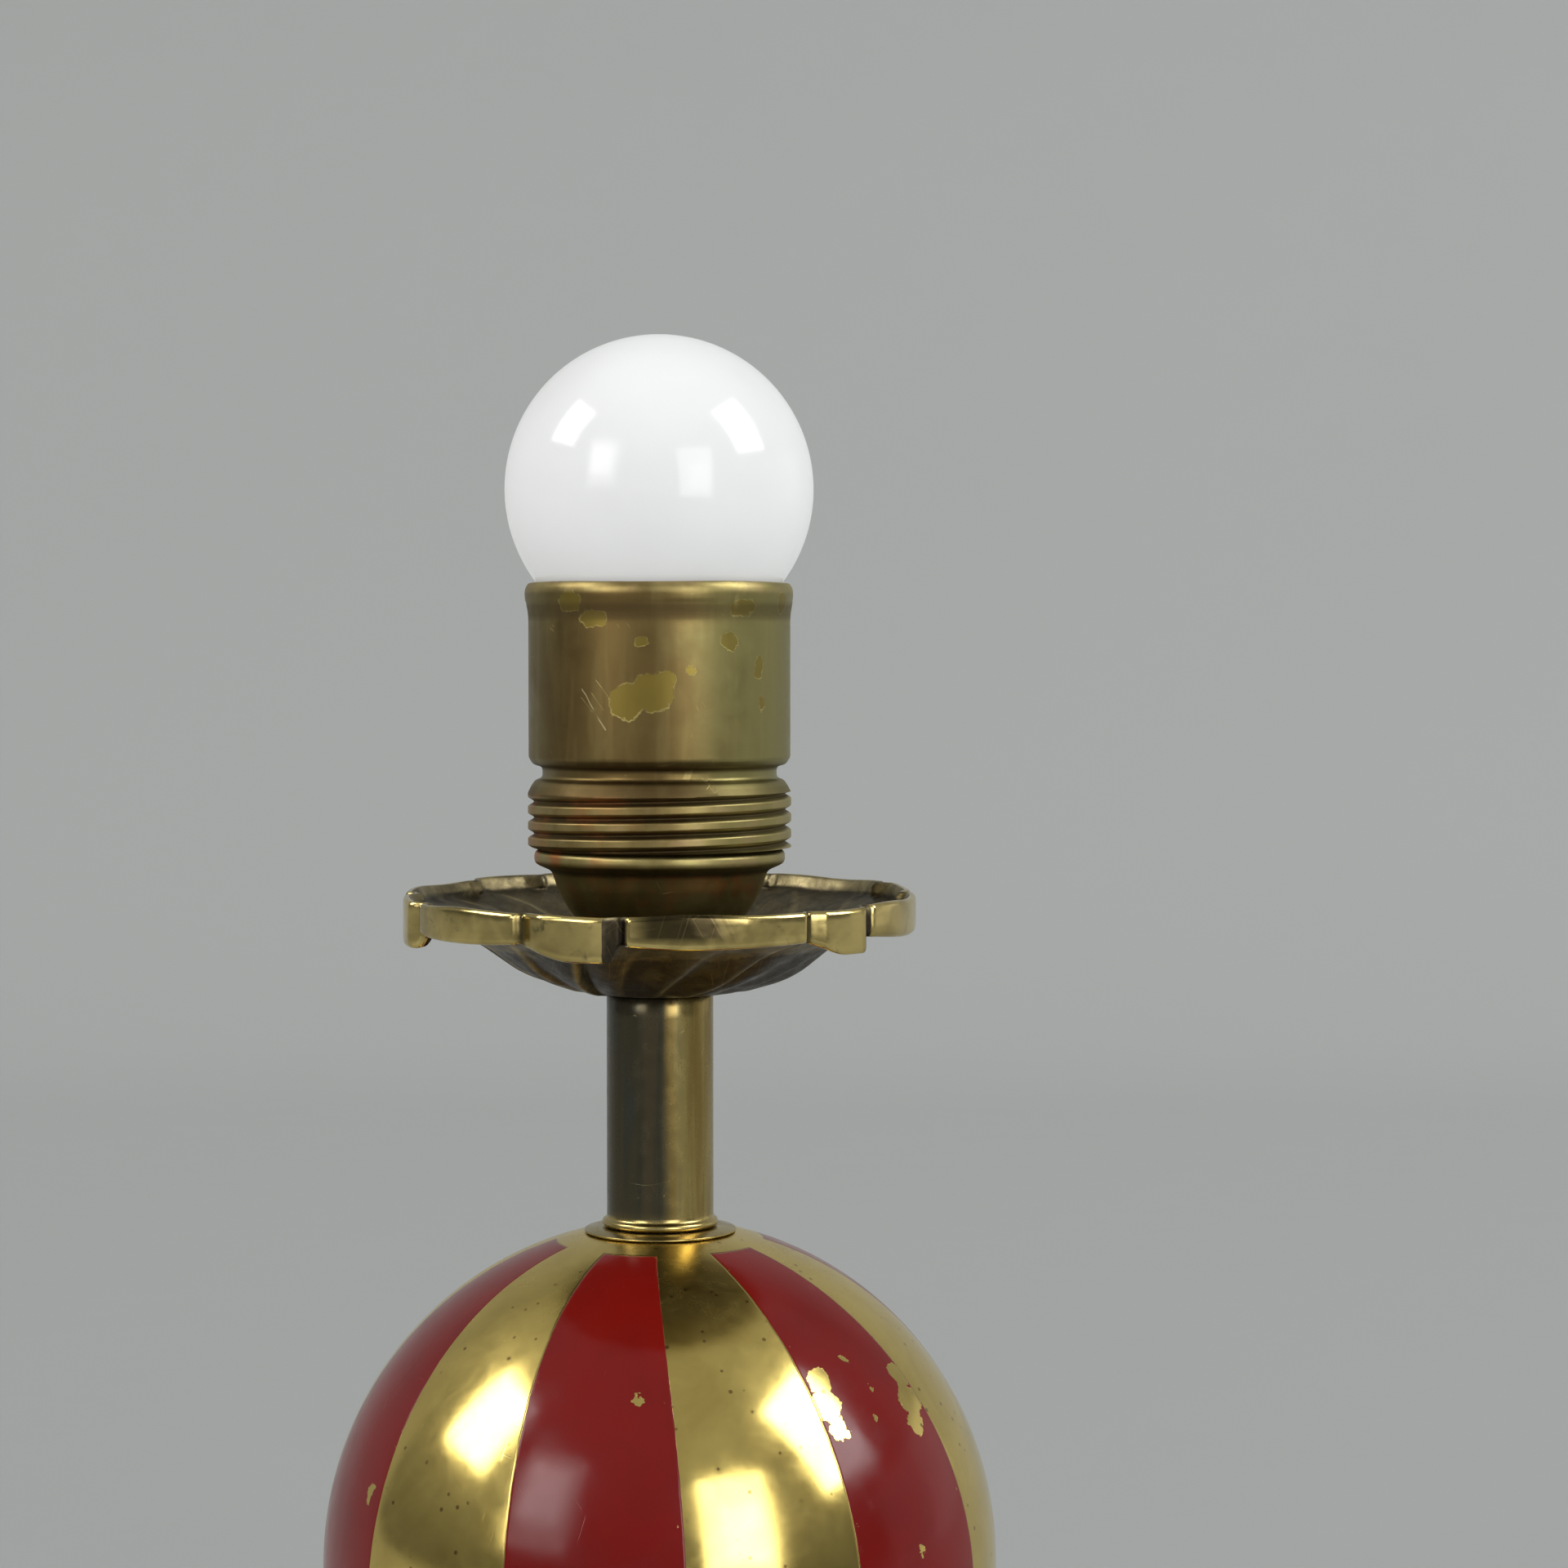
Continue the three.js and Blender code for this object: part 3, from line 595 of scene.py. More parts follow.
def tube_brass():
    """Drawn tube, tarnished dark with streaks along it, and wiped clean on its right-hand side, which is
    also lighter as painted light.
    """
    g = Graph("tube_brass")
    x, y, _ = g.axes()
    azimuth = g.azimuth(x, y)
    streak = g.noise(2.6, 5, 0.55, 0.3, g.stretched((1, 1, 0.05)))
    wander = g.plus(azimuth, g.spread(streak, 0, 1, -0.35, 0.35))
    off = g.math("ABSOLUTE", g.minus(wander, math.radians(56)))
    # cleaner brass towards the right, partly painted light on the side where the light falls
    rubbed_and_lit = g.between(off, math.radians(52), math.radians(30))
    clean = g.mix(g.between(streak, 0.38, 0.64), (0.40, 0.31, 0.115), (0.27, 0.185, 0.055))
    dark = g.mix(g.between(streak, 0.36, 0.66), (0.105, 0.085, 0.050), (0.070, 0.066, 0.046))
    blue = g.between(g.noise(6, 3, 0.5, 0.2, g.stretched((1, 1, 0.2))), 0.52, 0.68)
    dark = g.over(dark, blue, 0.5, (0.065, 0.078, 0.075))
    colour = g.mix(rubbed_and_lit, dark, clean)
    worn = g.cloud(0.70, 0.735, 1.3, 5, 0.65, 0.4)
    colour = g.over(colour, worn, 0.7, (0.62, 0.48, 0.19))
    colour = g.over(colour, g.painted("worn"), 0.8, (0.56, 0.43, 0.16))
    lines = g.scored(0.36)
    colour = g.over(colour, lines, 0.2, (0.60, 0.48, 0.22))
    rough = g.varied(0.19, 0.32, 2.4, 5, 0.6)
    g.set(Base_Color=colour, Metallic=1.0, Roughness=rough)
    fine = g.bump(g.minus(g.times(streak, 0.3), lines), 0.006)
    g.set(Normal=g.bump(g.noise(9, 2), 0.015, fine))
    return g.material


def opal_glass():
    """Glossy white glass with the faintest cloud and dust, and a faint painted glow for the light that the
    opal glass scatters.
    """
    g = Graph("opal_glass")
    colour = g.mix(g.cloud(0.3, 0.7, 18, 4, 0.5), (0.58, 0.585, 0.59), (0.555, 0.56, 0.565))
    dust = g.cloud(0.66, 0.8, 0.9, 6, 0.7)
    colour = g.over(colour, dust, 0.15, (0.55, 0.54, 0.50))
    rough = g.varied(0.08, 0.15, 6, 5, 0.6)
    g.set(Base_Color=colour, Roughness=g.plus(rough, g.times(dust, 0.15)))
    # a painted glow: the bulb is off, and the emission stands for light scattered in the opal glass
    g.set(IOR=1.42, Emission_Color=(1.0, 1.0, 0.98), Emission_Strength=0.265)
    g.set(Normal=g.bump(g.noise(14, 2), 0.05))
    return g.material


def matt(name, colour, other, size, rough, depth, grain=0.5):
    """Felt, iron, plastic or insulation: a cloudy colour with a fine grain."""
    g = Graph(name)
    cloud = g.mix(g.cloud(0.35, 0.68, size, 6, 0.65), colour, other)
    speck = g.cloud(0.58, 0.7, grain, 4, 0.6)
    g.set(Base_Color=g.mix(g.times(speck, 0.4), cloud, tuple(c * 1.6 + 0.01 for c in colour)))
    g.set(Roughness=g.varied(*rough, size * 0.5, 4))
    g.set(Normal=g.bump(g.noise(grain, 5, 0.65), depth))
    return g.material


def plated(name, clean, dull, rough=(0.22, 0.4)):
    """Nickel, zinc or steel."""
    return brass(name, clean, dull, tuple(c * 0.35 for c in dull), rough, 5, 0.35, 0.4)


def glazed(name, colour, other):
    g = Graph(name)
    g.set(Base_Color=g.mix(g.cloud(0.35, 0.7, 6, 6, 0.6), colour, other))
    g.set(Roughness=g.varied(0.12, 0.28, 3, 4))
    g.set(Normal=g.bump(g.noise(2.5, 3), 0.04))
    return g.material


def clear_glass():
    g = Graph("clear_glass")
    g.set(Base_Color=g.mix(g.noise(6, 3), (0.92, 0.95, 0.94), (0.85, 0.9, 0.88)))
    g.set(Transmission_Weight=1.0, IOR=1.5, Roughness=g.varied(0.02, 0.08, 3, 3))
    return g.material


# One for each slot of the record.
MATERIALS = {
    "opal_glass": opal_glass(),
    "nickel": plated("nickel", (0.62, 0.60, 0.55), (0.42, 0.40, 0.36)),
    "black_glass": glazed("black_glass", (0.02, 0.018, 0.016), (0.035, 0.03, 0.026)),
    "clear_glass": clear_glass(),
    "tungsten": plated("tungsten", (0.30, 0.30, 0.31), (0.18, 0.18, 0.19)),
    "aged_brass": holder_brass(),
    "porcelain": glazed("porcelain", (0.78, 0.75, 0.68), (0.68, 0.64, 0.56)),
    "bright_brass": brass("bright_brass", (0.72, 0.53, 0.20), (0.50, 0.36, 0.14), (0.16, 0.11, 0.05)),
    "spring_steel": plated("spring_steel", (0.50, 0.50, 0.50), (0.32, 0.32, 0.32)),
    "pan_brass": pan_brass(),
    "tube_brass": tube_brass(),
    "striped_ball": ball_paint(),
    "foot_brass": brass(
        "foot_brass", (0.66, 0.49, 0.18), (0.44, 0.325, 0.12), (0.13, 0.09, 0.04), (0.14, 0.3), 14
    ),
    "cast_iron": matt("cast_iron", (0.045, 0.042, 0.04), (0.085, 0.06, 0.045), 7, (0.6, 0.85), 0.25, 1.2),
    "zinc_steel": plated("zinc_steel", (0.55, 0.56, 0.56), (0.38, 0.38, 0.36)),
    "green_felt": matt(
        "green_felt", (0.022, 0.05, 0.028), (0.034, 0.066, 0.038), 5, (0.9, 1.0), 0.3, 0.35
    ),
    "black_plastic": matt(
        "black_plastic", (0.012, 0.012, 0.012), (0.02, 0.02, 0.02), 4, (0.35, 0.55), 0.03
    ),
    "brown_sleeve": matt("brown_sleeve", (0.10, 0.04, 0.02), (0.14, 0.06, 0.03), 4, (0.4, 0.6), 0.03),
    "blue_sleeve": matt("blue_sleeve", (0.03, 0.07, 0.22), (0.04, 0.09, 0.28), 4, (0.4, 0.6), 0.03),
}


def paint(obj, **layers):
    """Stores value(x, y, z in millimetres) at every point of a mesh, for a material to read."""
    for name, value in layers.items():
        layer = obj.data.attributes.new(name, "FLOAT", "POINT")
        layer.data.foreach_set("value", [float(value(*(v.co / MM))) for v in obj.data.vertices])


def even(share):
    return lambda x, y, z: share


# ---- bulb ----
def add_bulb():
    neck = BULB - 19
    neck_r = 12.6
    cap_high = heights("bulb_screw_cap")[1]
    wall = 1.0
    outside = [(0, BULB_TOP), *arc(0, BULB, BULB_R, 88.5, -54, 72)]
    inside = [*arc(0, BULB, BULB_R - wall, -57, 87, 36), (0, BULB_TOP - wall)]
    end_r, end_z = outside[-1]
    ease = [
        (end_r + (neck_r - end_r) * smooth(0, 1, t) ** 0.8, end_z + (neck - end_z) * t)
        for t in (0.2, 0.4, 0.6, 0.8, 1.0)
    ]
    collar = [
        (12.5, cap_high + 0.3), (11.2, cap_high + 0.3), (11.2, cap_high - 5), (10.2, cap_high - 5),
        (10.2, cap_high + 0.8), (11.5, cap_high + 1.8),
    ]
    turned("bulb", [*outside, *ease, *collar, *inside], "opal_glass", ["bulb_glass"], "bulb", sharp=60)


def add_screw_cap():
    low, high = heights("bulb_screw_cap")
    mean = 12.55
    wave = 0.5
    thickness = 0.9
    rows = [(mean, z) for z in levels(low, high, 0.25)]
    sleeve = [*rows, (mean - thickness, high), (mean - thickness, low)]

    def threaded(r, azimuth, z):
        if r < mean - 0.1:
            return r, z
        fade = smooth(low, low + 1.5, z) * smooth(high - 2.6, high - 4.5, z)
        flare = 0.25 * smooth(high - 1, high, z)
        return r + flare + fade * wave * math.cos(2 * math.pi * z / E27_PITCH - azimuth), z

    turned("screw_cap", sleeve, "nickel", ["bulb_screw_cap"], "bulb", threaded)


# ---- lampholder ----
BARREL_PITCH = 2.38
THREAD_HIGH = BALL + 115.3
THREAD_LOW = BALL + 107.1
THREAD_CREST = 19.7
THREAD_DEPTH = 0.9
CREST_AT = BALL + 113.3  # height of a crest at the front


def thread_groove(azimuth, z):
    """How deep the barrel's groove is at a place: 0 on a crest and 1 at the bottom."""
    from_front = (azimuth + math.pi) % (2 * math.pi) - math.pi
    turn = ((z - CREST_AT) / BARREL_PITCH - from_front / (2 * math.pi)) % 1.0
    valley = 1 - abs(2 * turn - 1)
    start = CREST_AT + BARREL_PITCH * (0.9 + from_front / (2 * math.pi))
    begun = smooth(start + 0.15, start - 0.15, z)
    return begun * smooth(0.38, 1.0, valley)


def tone_and_side_light(x, y, z):
    """How light the holder's lacquer is around its axis: its own brown on its left and olive on its right,
    and lighter on the right as painted side light.
    """
    azimuth = math.degrees(math.atan2(x, -y))
    if abs(azimuth) > 90:
        return 0.45
    return max(smooth(-4, 46, azimuth), 0.35 * smooth(-34, -64, azimuth))


def add_holder_shell():
    low, top = heights("holder_shell")
    barrel_r = THREAD_CREST - 0.02
    lip = softened([
        (19.0, top - 0.6), (19.05, top), (19.5, top - 0.1), (19.9, top - 0.7), (20.05, top - 1.5),
        (20.0, top - 2.3), (19.82, top - 3.4), (19.62, top - 4.6), (19.54, top - 5.8),
        *above((19.55, 139.6), (19.55, 120.5), (18.9, 119.5), (17.7, 119.15), (17.5, 118.7),
               (17.5, 117.8), (17.75, 117.4), (18.6, 117.1), (19.15, 116.3), (19.6, 115.4)),
    ], 0.35, closed=False, steps=4)
    barrel = [(barrel_r, z) for z in levels(THREAD_HIGH - 0.1, THREAD_LOW, 0.1)]
    rest = [
        (18.6, THREAD_LOW - 0.15), (17.8, THREAD_LOW - 0.45), (17.6, low), (16.8, low),
        *above((16.8, 118.4), (18.6, 120.8), (18.65, 140.9), (18.95, 143)),
    ]

    def threaded(r, azimuth, z):
        if abs(r - barrel_r) < 0.005 and THREAD_LOW - 0.01 <= z <= THREAD_HIGH:
            return r - THREAD_DEPTH * thread_groove(azimuth, z), z
        if r > 18.9 and z > top - 3:
            dent = 0.05 * math.sin(3 * azimuth + 0.7) + 0.03 * math.sin(7 * azimuth)
            return min(r + dent, 20.1), z - 0.06 - 0.06 * math.sin(4 * azimuth + 2)
        return r, z

    def worn(x, y, z):
        # wear on the thread's crests, and a painted highlight along the lip's top
        r, azimuth = around(x, y)
        on_thread = THREAD_LOW - 0.1 < z < THREAD_HIGH - 0.5
        crest = smooth(THREAD_CREST - 0.4, THREAD_CREST - 0.1, r) * on_thread
        rim = smooth(top - 2.0, top - 1.2, z) * (0.55 + 0.45 * math.sin(5 * azimuth + 1) ** 2)
        return max(0.45 * crest, 0.65 * rim)

    def deep(x, y, z):
        # Painted shade in the thread's grooves, in the neck and below and above the thread, and a painted
        # dark reflection on the downward cone under the lip.
        r = math.hypot(x, y)
        on_thread = THREAD_LOW - 0.7 < z < THREAD_HIGH - 0.3
        over_thread = z - THREAD_HIGH
        groove = smooth(THREAD_CREST - 0.3, THREAD_CREST - 0.8, r) * on_thread
        neck = 0.8 * smooth(BALL + 118.5, BALL + 119.1, z) * smooth(19.4, 18.6, r) * (z < BALL + 120)
        foot = 1.0 * (r < 17.9 and z < THREAD_LOW)
        cone = 0.6 * smooth(1.7, 0.6, abs(z - (top - 4.4))) * (r > 19.4)
        throat = 0.45 * smooth(-0.6, 0, over_thread) * smooth(2.4, 1.4, over_thread)
        lead = 0.6 * smooth(-0.5, -0.2, over_thread) * smooth(1.6, 0.9, over_thread)
        return max(groove, neck, cone, throat, lead, foot)

    def copper(x, y, z):
        return 0.4 * (z < THREAD_HIGH) * smooth(5, -14, x)

    shell = turned("lampholder_shell", [*lip, *barrel, *rest], "aged_brass", ["holder_shell"],
                   shape=threaded, facets=240, sharp=50)
    paint(shell, worn=worn, deep=deep, copper=copper, side=tone_and_side_light)


def add_holder_cap():
    low = heights("holder_cap")[0]
    bead = BALL + 105.7
    outside = [
        (17.75, bead + 1.0), (18.35, bead + 0.95), (18.72, bead + 0.5), (18.76, bead - 0.35),
        (18.6, bead - 0.9), (18.1, bead - 1.25), (17.5, bead - 1.5), (16.6, bead - 1.9),
        (16.15, bead - 2.3), (15.85, bead - 3.1),
        *above((15.4, 101.2), (14.7, 99.7), (13.85, 98.2), (12.8, 96.7), (11.4, 95.0), (9.9, 93.2),
               (8.9, 91.6)), (8.4, low),
    ]
    inside = [
        (BORE, low), (BORE, low + 1.1), (7.5, low + 1.1),
        *above((7.8, 92.2), (8.8, 93.7), (10.4, 95.6), (12, 97.5), (13.1, 99), (13.9, 100.4),
               (14.6, 101.9), (14.9, 103.3), (16.6, 104.15), (17.75, 104.4)),
    ]

    def worn(x, y, z):
        return 0.12 + 0.45 * smooth(18.3, 18.75, math.hypot(x, y))

    # painted side light on the cap: lighter on its right, as on the shell
    def side(x, y, z):
        return min(1.0, 0.5 + tone_and_side_light(x, y, z))

    def deep(x, y, z):
        # painted shade under the bead, and darker towards the bell's bottom
        under_bead = smooth(0.9, 0.1, abs(z - bead + 1.9)) * (math.hypot(x, y) < 17.8)
        return 0.85 * under_bead + 0.25 * smooth(BALL + 96, BALL + 92, z)

    def copper(x, y, z):
        below = (z < bead - 2) * (0.45 + 0.4 * smooth(4, 12, x))
        return smooth(-2, -14, x) * (z > bead - 1.6) + below

    cap = turned("lampholder_cap", softened([*outside, *inside], 0.5), "aged_brass", ["holder_cap"],
                 sharp=60)
    paint(cap, worn=worn, deep=deep, copper=copper, side=side)


def add_contact_spring():
    """The spring under the centre contact. On the real lamp it shortens as the plunger goes down; this
    mesh keeps one length.
    """
    low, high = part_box("contact_spring")
    wire_r = 0.2
    coils = 3.5
    steps = 28  # for each turn
    sides = 10
    coil_r = high.x / MM - wire_r
    bottom = low.z / MM + wire_r
    climb = high.z / MM - wire_r - bottom
    count = round(coils * steps)
    vertices = []
    for i in range(count + 1):
        turns = i / steps
        z = bottom + climb * min(1, max(0, (turns - 0.5) / (coils - 1)))  # half a turn is flat at each end
        angle = 2 * math.pi * turns
        for k in range(sides):
            t = 2 * math.pi * k / sides
            r = coil_r + wire_r * math.cos(t)
            up = z + wire_r * math.sin(t)
            vertices.append((r * math.cos(angle) * MM, r * math.sin(angle) * MM, up * MM))
    faces = [list(range(sides)), [count * sides + k for k in reversed(range(sides))]]
    for i in range(count):
        for k in range(sides):
            a = i * sides + k
            b = i * sides + (k + 1) % sides
            faces.append((a, a + sides, b + sides, b))
    spring = piece("coil_spring", vertices, faces, None, "spring_steel", ["contact_spring"], 60)
    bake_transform(spring)


# ---- drip pan ----
PAN_R = 38.7
PAN_SWIRL = 0.022  # radians that a petal turns for each millimetre inwards
# Where each narrow lobe starts and ends, in degrees from the front.
NARROW_LOBES = [(-89, -66), (-29.7, -6.6), (36.5, 54.5), (93, 115), (153, 174), (213, 234)]


def lobe_at(azimuth):
    """The lobe at a place: its number, whether it is narrow, how far through, and its width."""
    first = NARROW_LOBES[0][0]
    degrees = (math.degrees(azimuth) - first) % 360 + first
    starts = [start for start, _ in NARROW_LOBES[1:]] + [first + 360]
    for k, (start, end) in enumerate(NARROW_LOBES):
        if degrees < end:
            return k, True, (degrees - start) / (end - start), math.radians(end - start)
        if degrees < starts[k]:
            return k, False, (degrees - end) / (starts[k] - end), math.radians(starts[k] - end)


def lobe_reach(azimuth):
    """How far the band stands in from the pan's full radius."""
    k, narrow, u, _ = lobe_at(azimuth)
    if narrow:
        swell = smooth(0, 0.25, u) * smooth(1.0, 0.83, u)
        return 1.7 - swell * (1.15 + 0.55 * smooth(0.1, 0.8, u))
    belly = smooth(0, 0.045, u) * smooth(1.0, 0.96, u)
    ragged = 0.08 * math.sin(11 * azimuth + 1.3 * k)
    return 1.7 - belly * (0.95 + 0.6 * math.sin(math.pi * u) ** 0.7 + ragged)


def lobe_drop(azimuth):
    """How much lower than the ends of a wide lobe the band reaches."""
    k, narrow, u, _ = lobe_at(azimuth)
    if narrow:
        hang = 0.2 + 2.05 * smooth(-0.1, 0.55, u) + 0.15 * math.sin(2.1 * k)
        return hang * smooth(1.0, 0.9, u)
    return 0.6 * math.sin(math.pi * u) + 0.1 * math.sin(9 * azimuth + k)


def rim_rise(azimuth):
    """The rim's height above its lowest stretch, which is at the front."""
    ripple = 0.16 * math.sin(7 * azimuth + 0.4)
    return 0.75 * (1 - math.cos(azimuth)) + ripple + 0.1 * math.sin(13 * azimuth)


def flute(azimuth, r):
    """Relief of the swirling petals, in millimetres: each rises slowly and drops at its border."""
    _, narrow, u, _ = lobe_at(azimuth + PAN_SWIRL * (PAN_R - r))
    if narrow:
        rise = 1.8 * smooth(0, 0.85, u) * smooth(1.0, 0.86, u)
    else:
        fold = 0.45 * math.sin(3 * math.pi * u)
        rise = (1.1 * math.sin(math.pi * u) ** 0.8 + fold) * smooth(1.0, 0.90, u)
    return rise * smooth(9, 22, r)


def add_drip_pan():
    low = heights("drip_pan")[0]
    rim = BALL + 99.5
    band_foot = BALL + 95.2
    under = [
        (BORE, low), (9.2, low), (11.2, low + 0.35),
        *above((13.4, 86.1), (17.2, 87.9), (21.6, 90.2), (26.5, 93.1), (31, 94.9), (35, 95.6)),
    ]
    band = [
        (36.7, band_foot + 0.35), (PAN_R - 0.45, band_foot), (PAN_R, band_foot + 0.5),
        (PAN_R, rim - 0.5), (PAN_R - 0.35, rim), (PAN_R - 1.1, rim - 0.05), (PAN_R - 1.6, rim - 0.7),
    ]
    floor = [
        *above((36.4, 97.6), (34.6, 97.1), (31, 96.3), (26.5, 94.5), (21.6, 91.3), (17.2, 89.2),
               (13.4, 87.4)),
        (9.3, low + 1.2), (BORE, low + 1.2),
    ]
    outline = dense(softened([*under, *band, *floor], 0.6), 0.8)

    def above_sheet(r, z):
        """Whether a place is on the pan's inner side."""
        for (r0, z0), (r1, z1) in zip(under, under[1:]):
            if r < r1:
                return z > z0 + (z1 - z0) * (r - r0) / (r1 - r0) + 0.6
        return z > BALL + 96.8

    def petals(r, azimuth, z):
        outer = smooth(35.0, 37.2, r)
        drop = lobe_drop(azimuth) * smooth(band_foot + 2.0, band_foot + 0.3, z)
        lift = -flute(azimuth, r) * (1 - max(outer, 0.75 * smooth(18, 30, r)))
        lean = rim_rise(azimuth) * above_sheet(r, z) * smooth(20, 37, r) * smooth(band_foot, rim - 2, z)
        return r - lobe_reach(azimuth) * outer, z + lift - drop * outer + lean

    def polish(x, y, z):
        """The band's outer face, which is polished but for a dull end on each lobe."""
        r, azimuth = around(x, y)
        face = smooth(1.3, 0.6, PAN_R - lobe_reach(azimuth) - r)
        k, narrow, u, _ = lobe_at(azimuth)
        if k == 0 and narrow:
            return 0.8 * face * (z > band_foot - 2.8)
        dull = smooth(0.80, 0.87, u) if narrow else smooth(0.045, 0.02, u)
        return max(0.0, face - 0.7 * dull) * (z > band_foot - 2.8)

    def deep(x, y, z):
        """Painted shade in the steps at the lobes' borders and round the middle, and a painted dark
        reflection on the front of the band.
        """
        r, azimuth = around(x, y)
        _, _, u, width = lobe_at(azimuth)
        border = min(u, 1 - u) * width * PAN_R
        groove = smooth(0.9, 0.2, border) * smooth(35.5, 36.5, r)
        groove *= 0.35 if x < -30 else 1.0
        front_band = (r > 36.5) * (y < 0)
        dark_front_reflection = smooth(10, 4, abs(x - 4.5)) * smooth(rim - 4.4, rim - 2.8, z) * front_band
        return min(1.0, max(0.85 * groove, dark_front_reflection) + 0.6 * smooth(13, 8, r))

    def worn(x, y, z):
        """Wear on the rim's edge and the pan's inner side, painted reflections on the petals' ridges,
        stronger on the left, and painted light that makes the inner side lighter.
        """
        if z > rim - 0.7:
            return smooth(rim - 0.7, rim - 0.2, z)
        r, azimuth = around(x, y)
        _, narrow, u, width = lobe_at(azimuth + PAN_SWIRL * (PAN_R - r))
        ridge = abs(u - 0.86) if narrow else min(abs(u - 0.90), abs(u - 0.35))
        line = smooth(1.1, 0.1, ridge * width * r) * smooth(9, 14, r) * smooth(37, 34, r)
        inside = r < 36.4 and z > band_foot - 1.8 * smooth(36, 20, r) - 0.16 * (36 - r)
        glint = 0.35 + 0.4 * smooth(-4, -12, x)
        return glint * line + 0.38 * inside * smooth(14, 24, r) * (1 - 0.7 * smooth(33, 36, r))

    pan = turned("scalloped_pan", outline, "pan_brass", ["drip_pan"], shape=petals, facets=720, sharp=42)
    paint(pan, polish=polish, deep=deep, worn=worn)


def add_pan_spacer():
    low, high = heights("pan_spacer")
    outline = softened([(BORE, low), (8.4, low), (8.4, high), (BORE, high)], 0.4)
    spacer = turned("pan_boss", outline, "aged_brass", ["pan_spacer"])
    # the whole spacer is darkened through "deep": painted shade under the lampholder's cap
    paint(spacer, worn=even(0.0), deep=even(0.3), copper=even(0.0), side=even(1.0))


# ---- tube, collars, neck, ball ----
def add_tube():
    low, high = heights("upper_tube")
    outline = [
        (7, low), *arc(8.1, low + 0.62, 0.6, -80, 80, 8), (8.02, low + 1.5), (8, low + 2),
        *[(8, z) for z in levels(low + 3, high - 0.3, 3)], (7.8, high), (7, high),
    ]
    foot = low + 1.6  # top of the small bead
    tube = turned("stem_tube", outline, "tube_brass", ["upper_tube"])
    paint(tube, worn=lambda x, y, z: 1.0 - smooth(foot, foot + 0.5, z))


def add_collars():
    for node, name in (("ball_top_collar", "top_collar"), ("ball_foot_collar", "foot_collar")):
        low, high = heights(node)
        face, back = (high, low) if low > BALL else (low, high)
        edge = back + 0.4 * (face - back)
        outline = softened([(BORE, back), (11.4, back), (11.4, edge), (9.4, face), (BORE, face)], 0.15)
        collar = turned(name, outline, "tube_brass", [node])
        paint(collar, worn=even(0.85))


def add_neck():
    low, high = heights("lower_neck")
    outline = [
        (BORE, low), *arc(12.6, low + 0.75, 0.7, -85, 85, 8), (11.6, low + 1.6),
        *arc(12.1, low + 3.8, 2.9, 215, 150, 10), (10.2, high - 0.5), (10.6, high), (BORE, high),
    ]
    turned("foot_neck", softened(outline, 0.2), "foot_brass", ["lower_neck"])


def add_ball():
    low, high = heights("ball")
    pole = math.degrees(math.asin((high - BALL) / BALL_R))
    inner_r = BALL_R - 1.6
    inner_pole = math.degrees(math.acos(BORE / inner_r))
    outline = [
        (BORE, high), *arc(0, BALL, BALL_R, pole, -pole, 128), (BORE, low),
        *arc(0, BALL, inner_r, -inner_pole, inner_pole, 32),
    ]
    turned("striped_ball", outline, "striped_ball", ["ball"], facets=256, sharp=40)


# ---- foot ----
FOOT_SHARP = 45  # degrees


def ogee(r, outer=54, inner=20):
    """Height of the foot's slope at a distance from the axis."""
    t = (outer - r) / (outer - inner)
    return 17.6 + 12.8 * (t + 0.1 * math.sin(2 * math.pi * t))


def cut_lead_outlet(foot, radius=3.65, inner=54, outer=61, count=48):
    """Cuts the round hole for the lead's bush through the back of the foot's wall."""
    level = middle("cord_gland").z
    angles = [2 * math.pi * i / count for i in range(count)]
    vertices = [
        (radius * math.cos(t) * MM, y * MM, level + radius * math.sin(t) * MM)
        for y in (inner, outer) for t in angles
    ]
    faces = [list(range(count)), list(range(2 * count - 1, count - 1, -1))]
    faces += [(i, i + count, (i + 1) % count + count, (i + 1) % count) for i in range(count)]
    mesh = bpy.data.meshes.new("lead_outlet_cutter")
    mesh.from_pydata(vertices, [], faces)
    cutter = linked("lead_outlet_cutter", mesh)
    cut = foot.modifiers.new("outlet", "BOOLEAN")
    cut.operation = "DIFFERENCE"
    cut.solver = "EXACT"
    cut.object = cutter
    bpy.context.view_layer.update()
    made = foot.evaluated_get(bpy.context.evaluated_depsgraph_get())
    whole = foot.data
    foot.data = bpy.data.meshes.new_from_object(made)
    foot.modifiers.clear()
    foot.data.set_sharp_from_angle(angle=math.radians(FOOT_SHARP))
    bpy.data.meshes.remove(whole)
    bpy.data.objects.remove(cutter)
    bpy.data.meshes.remove(mesh)


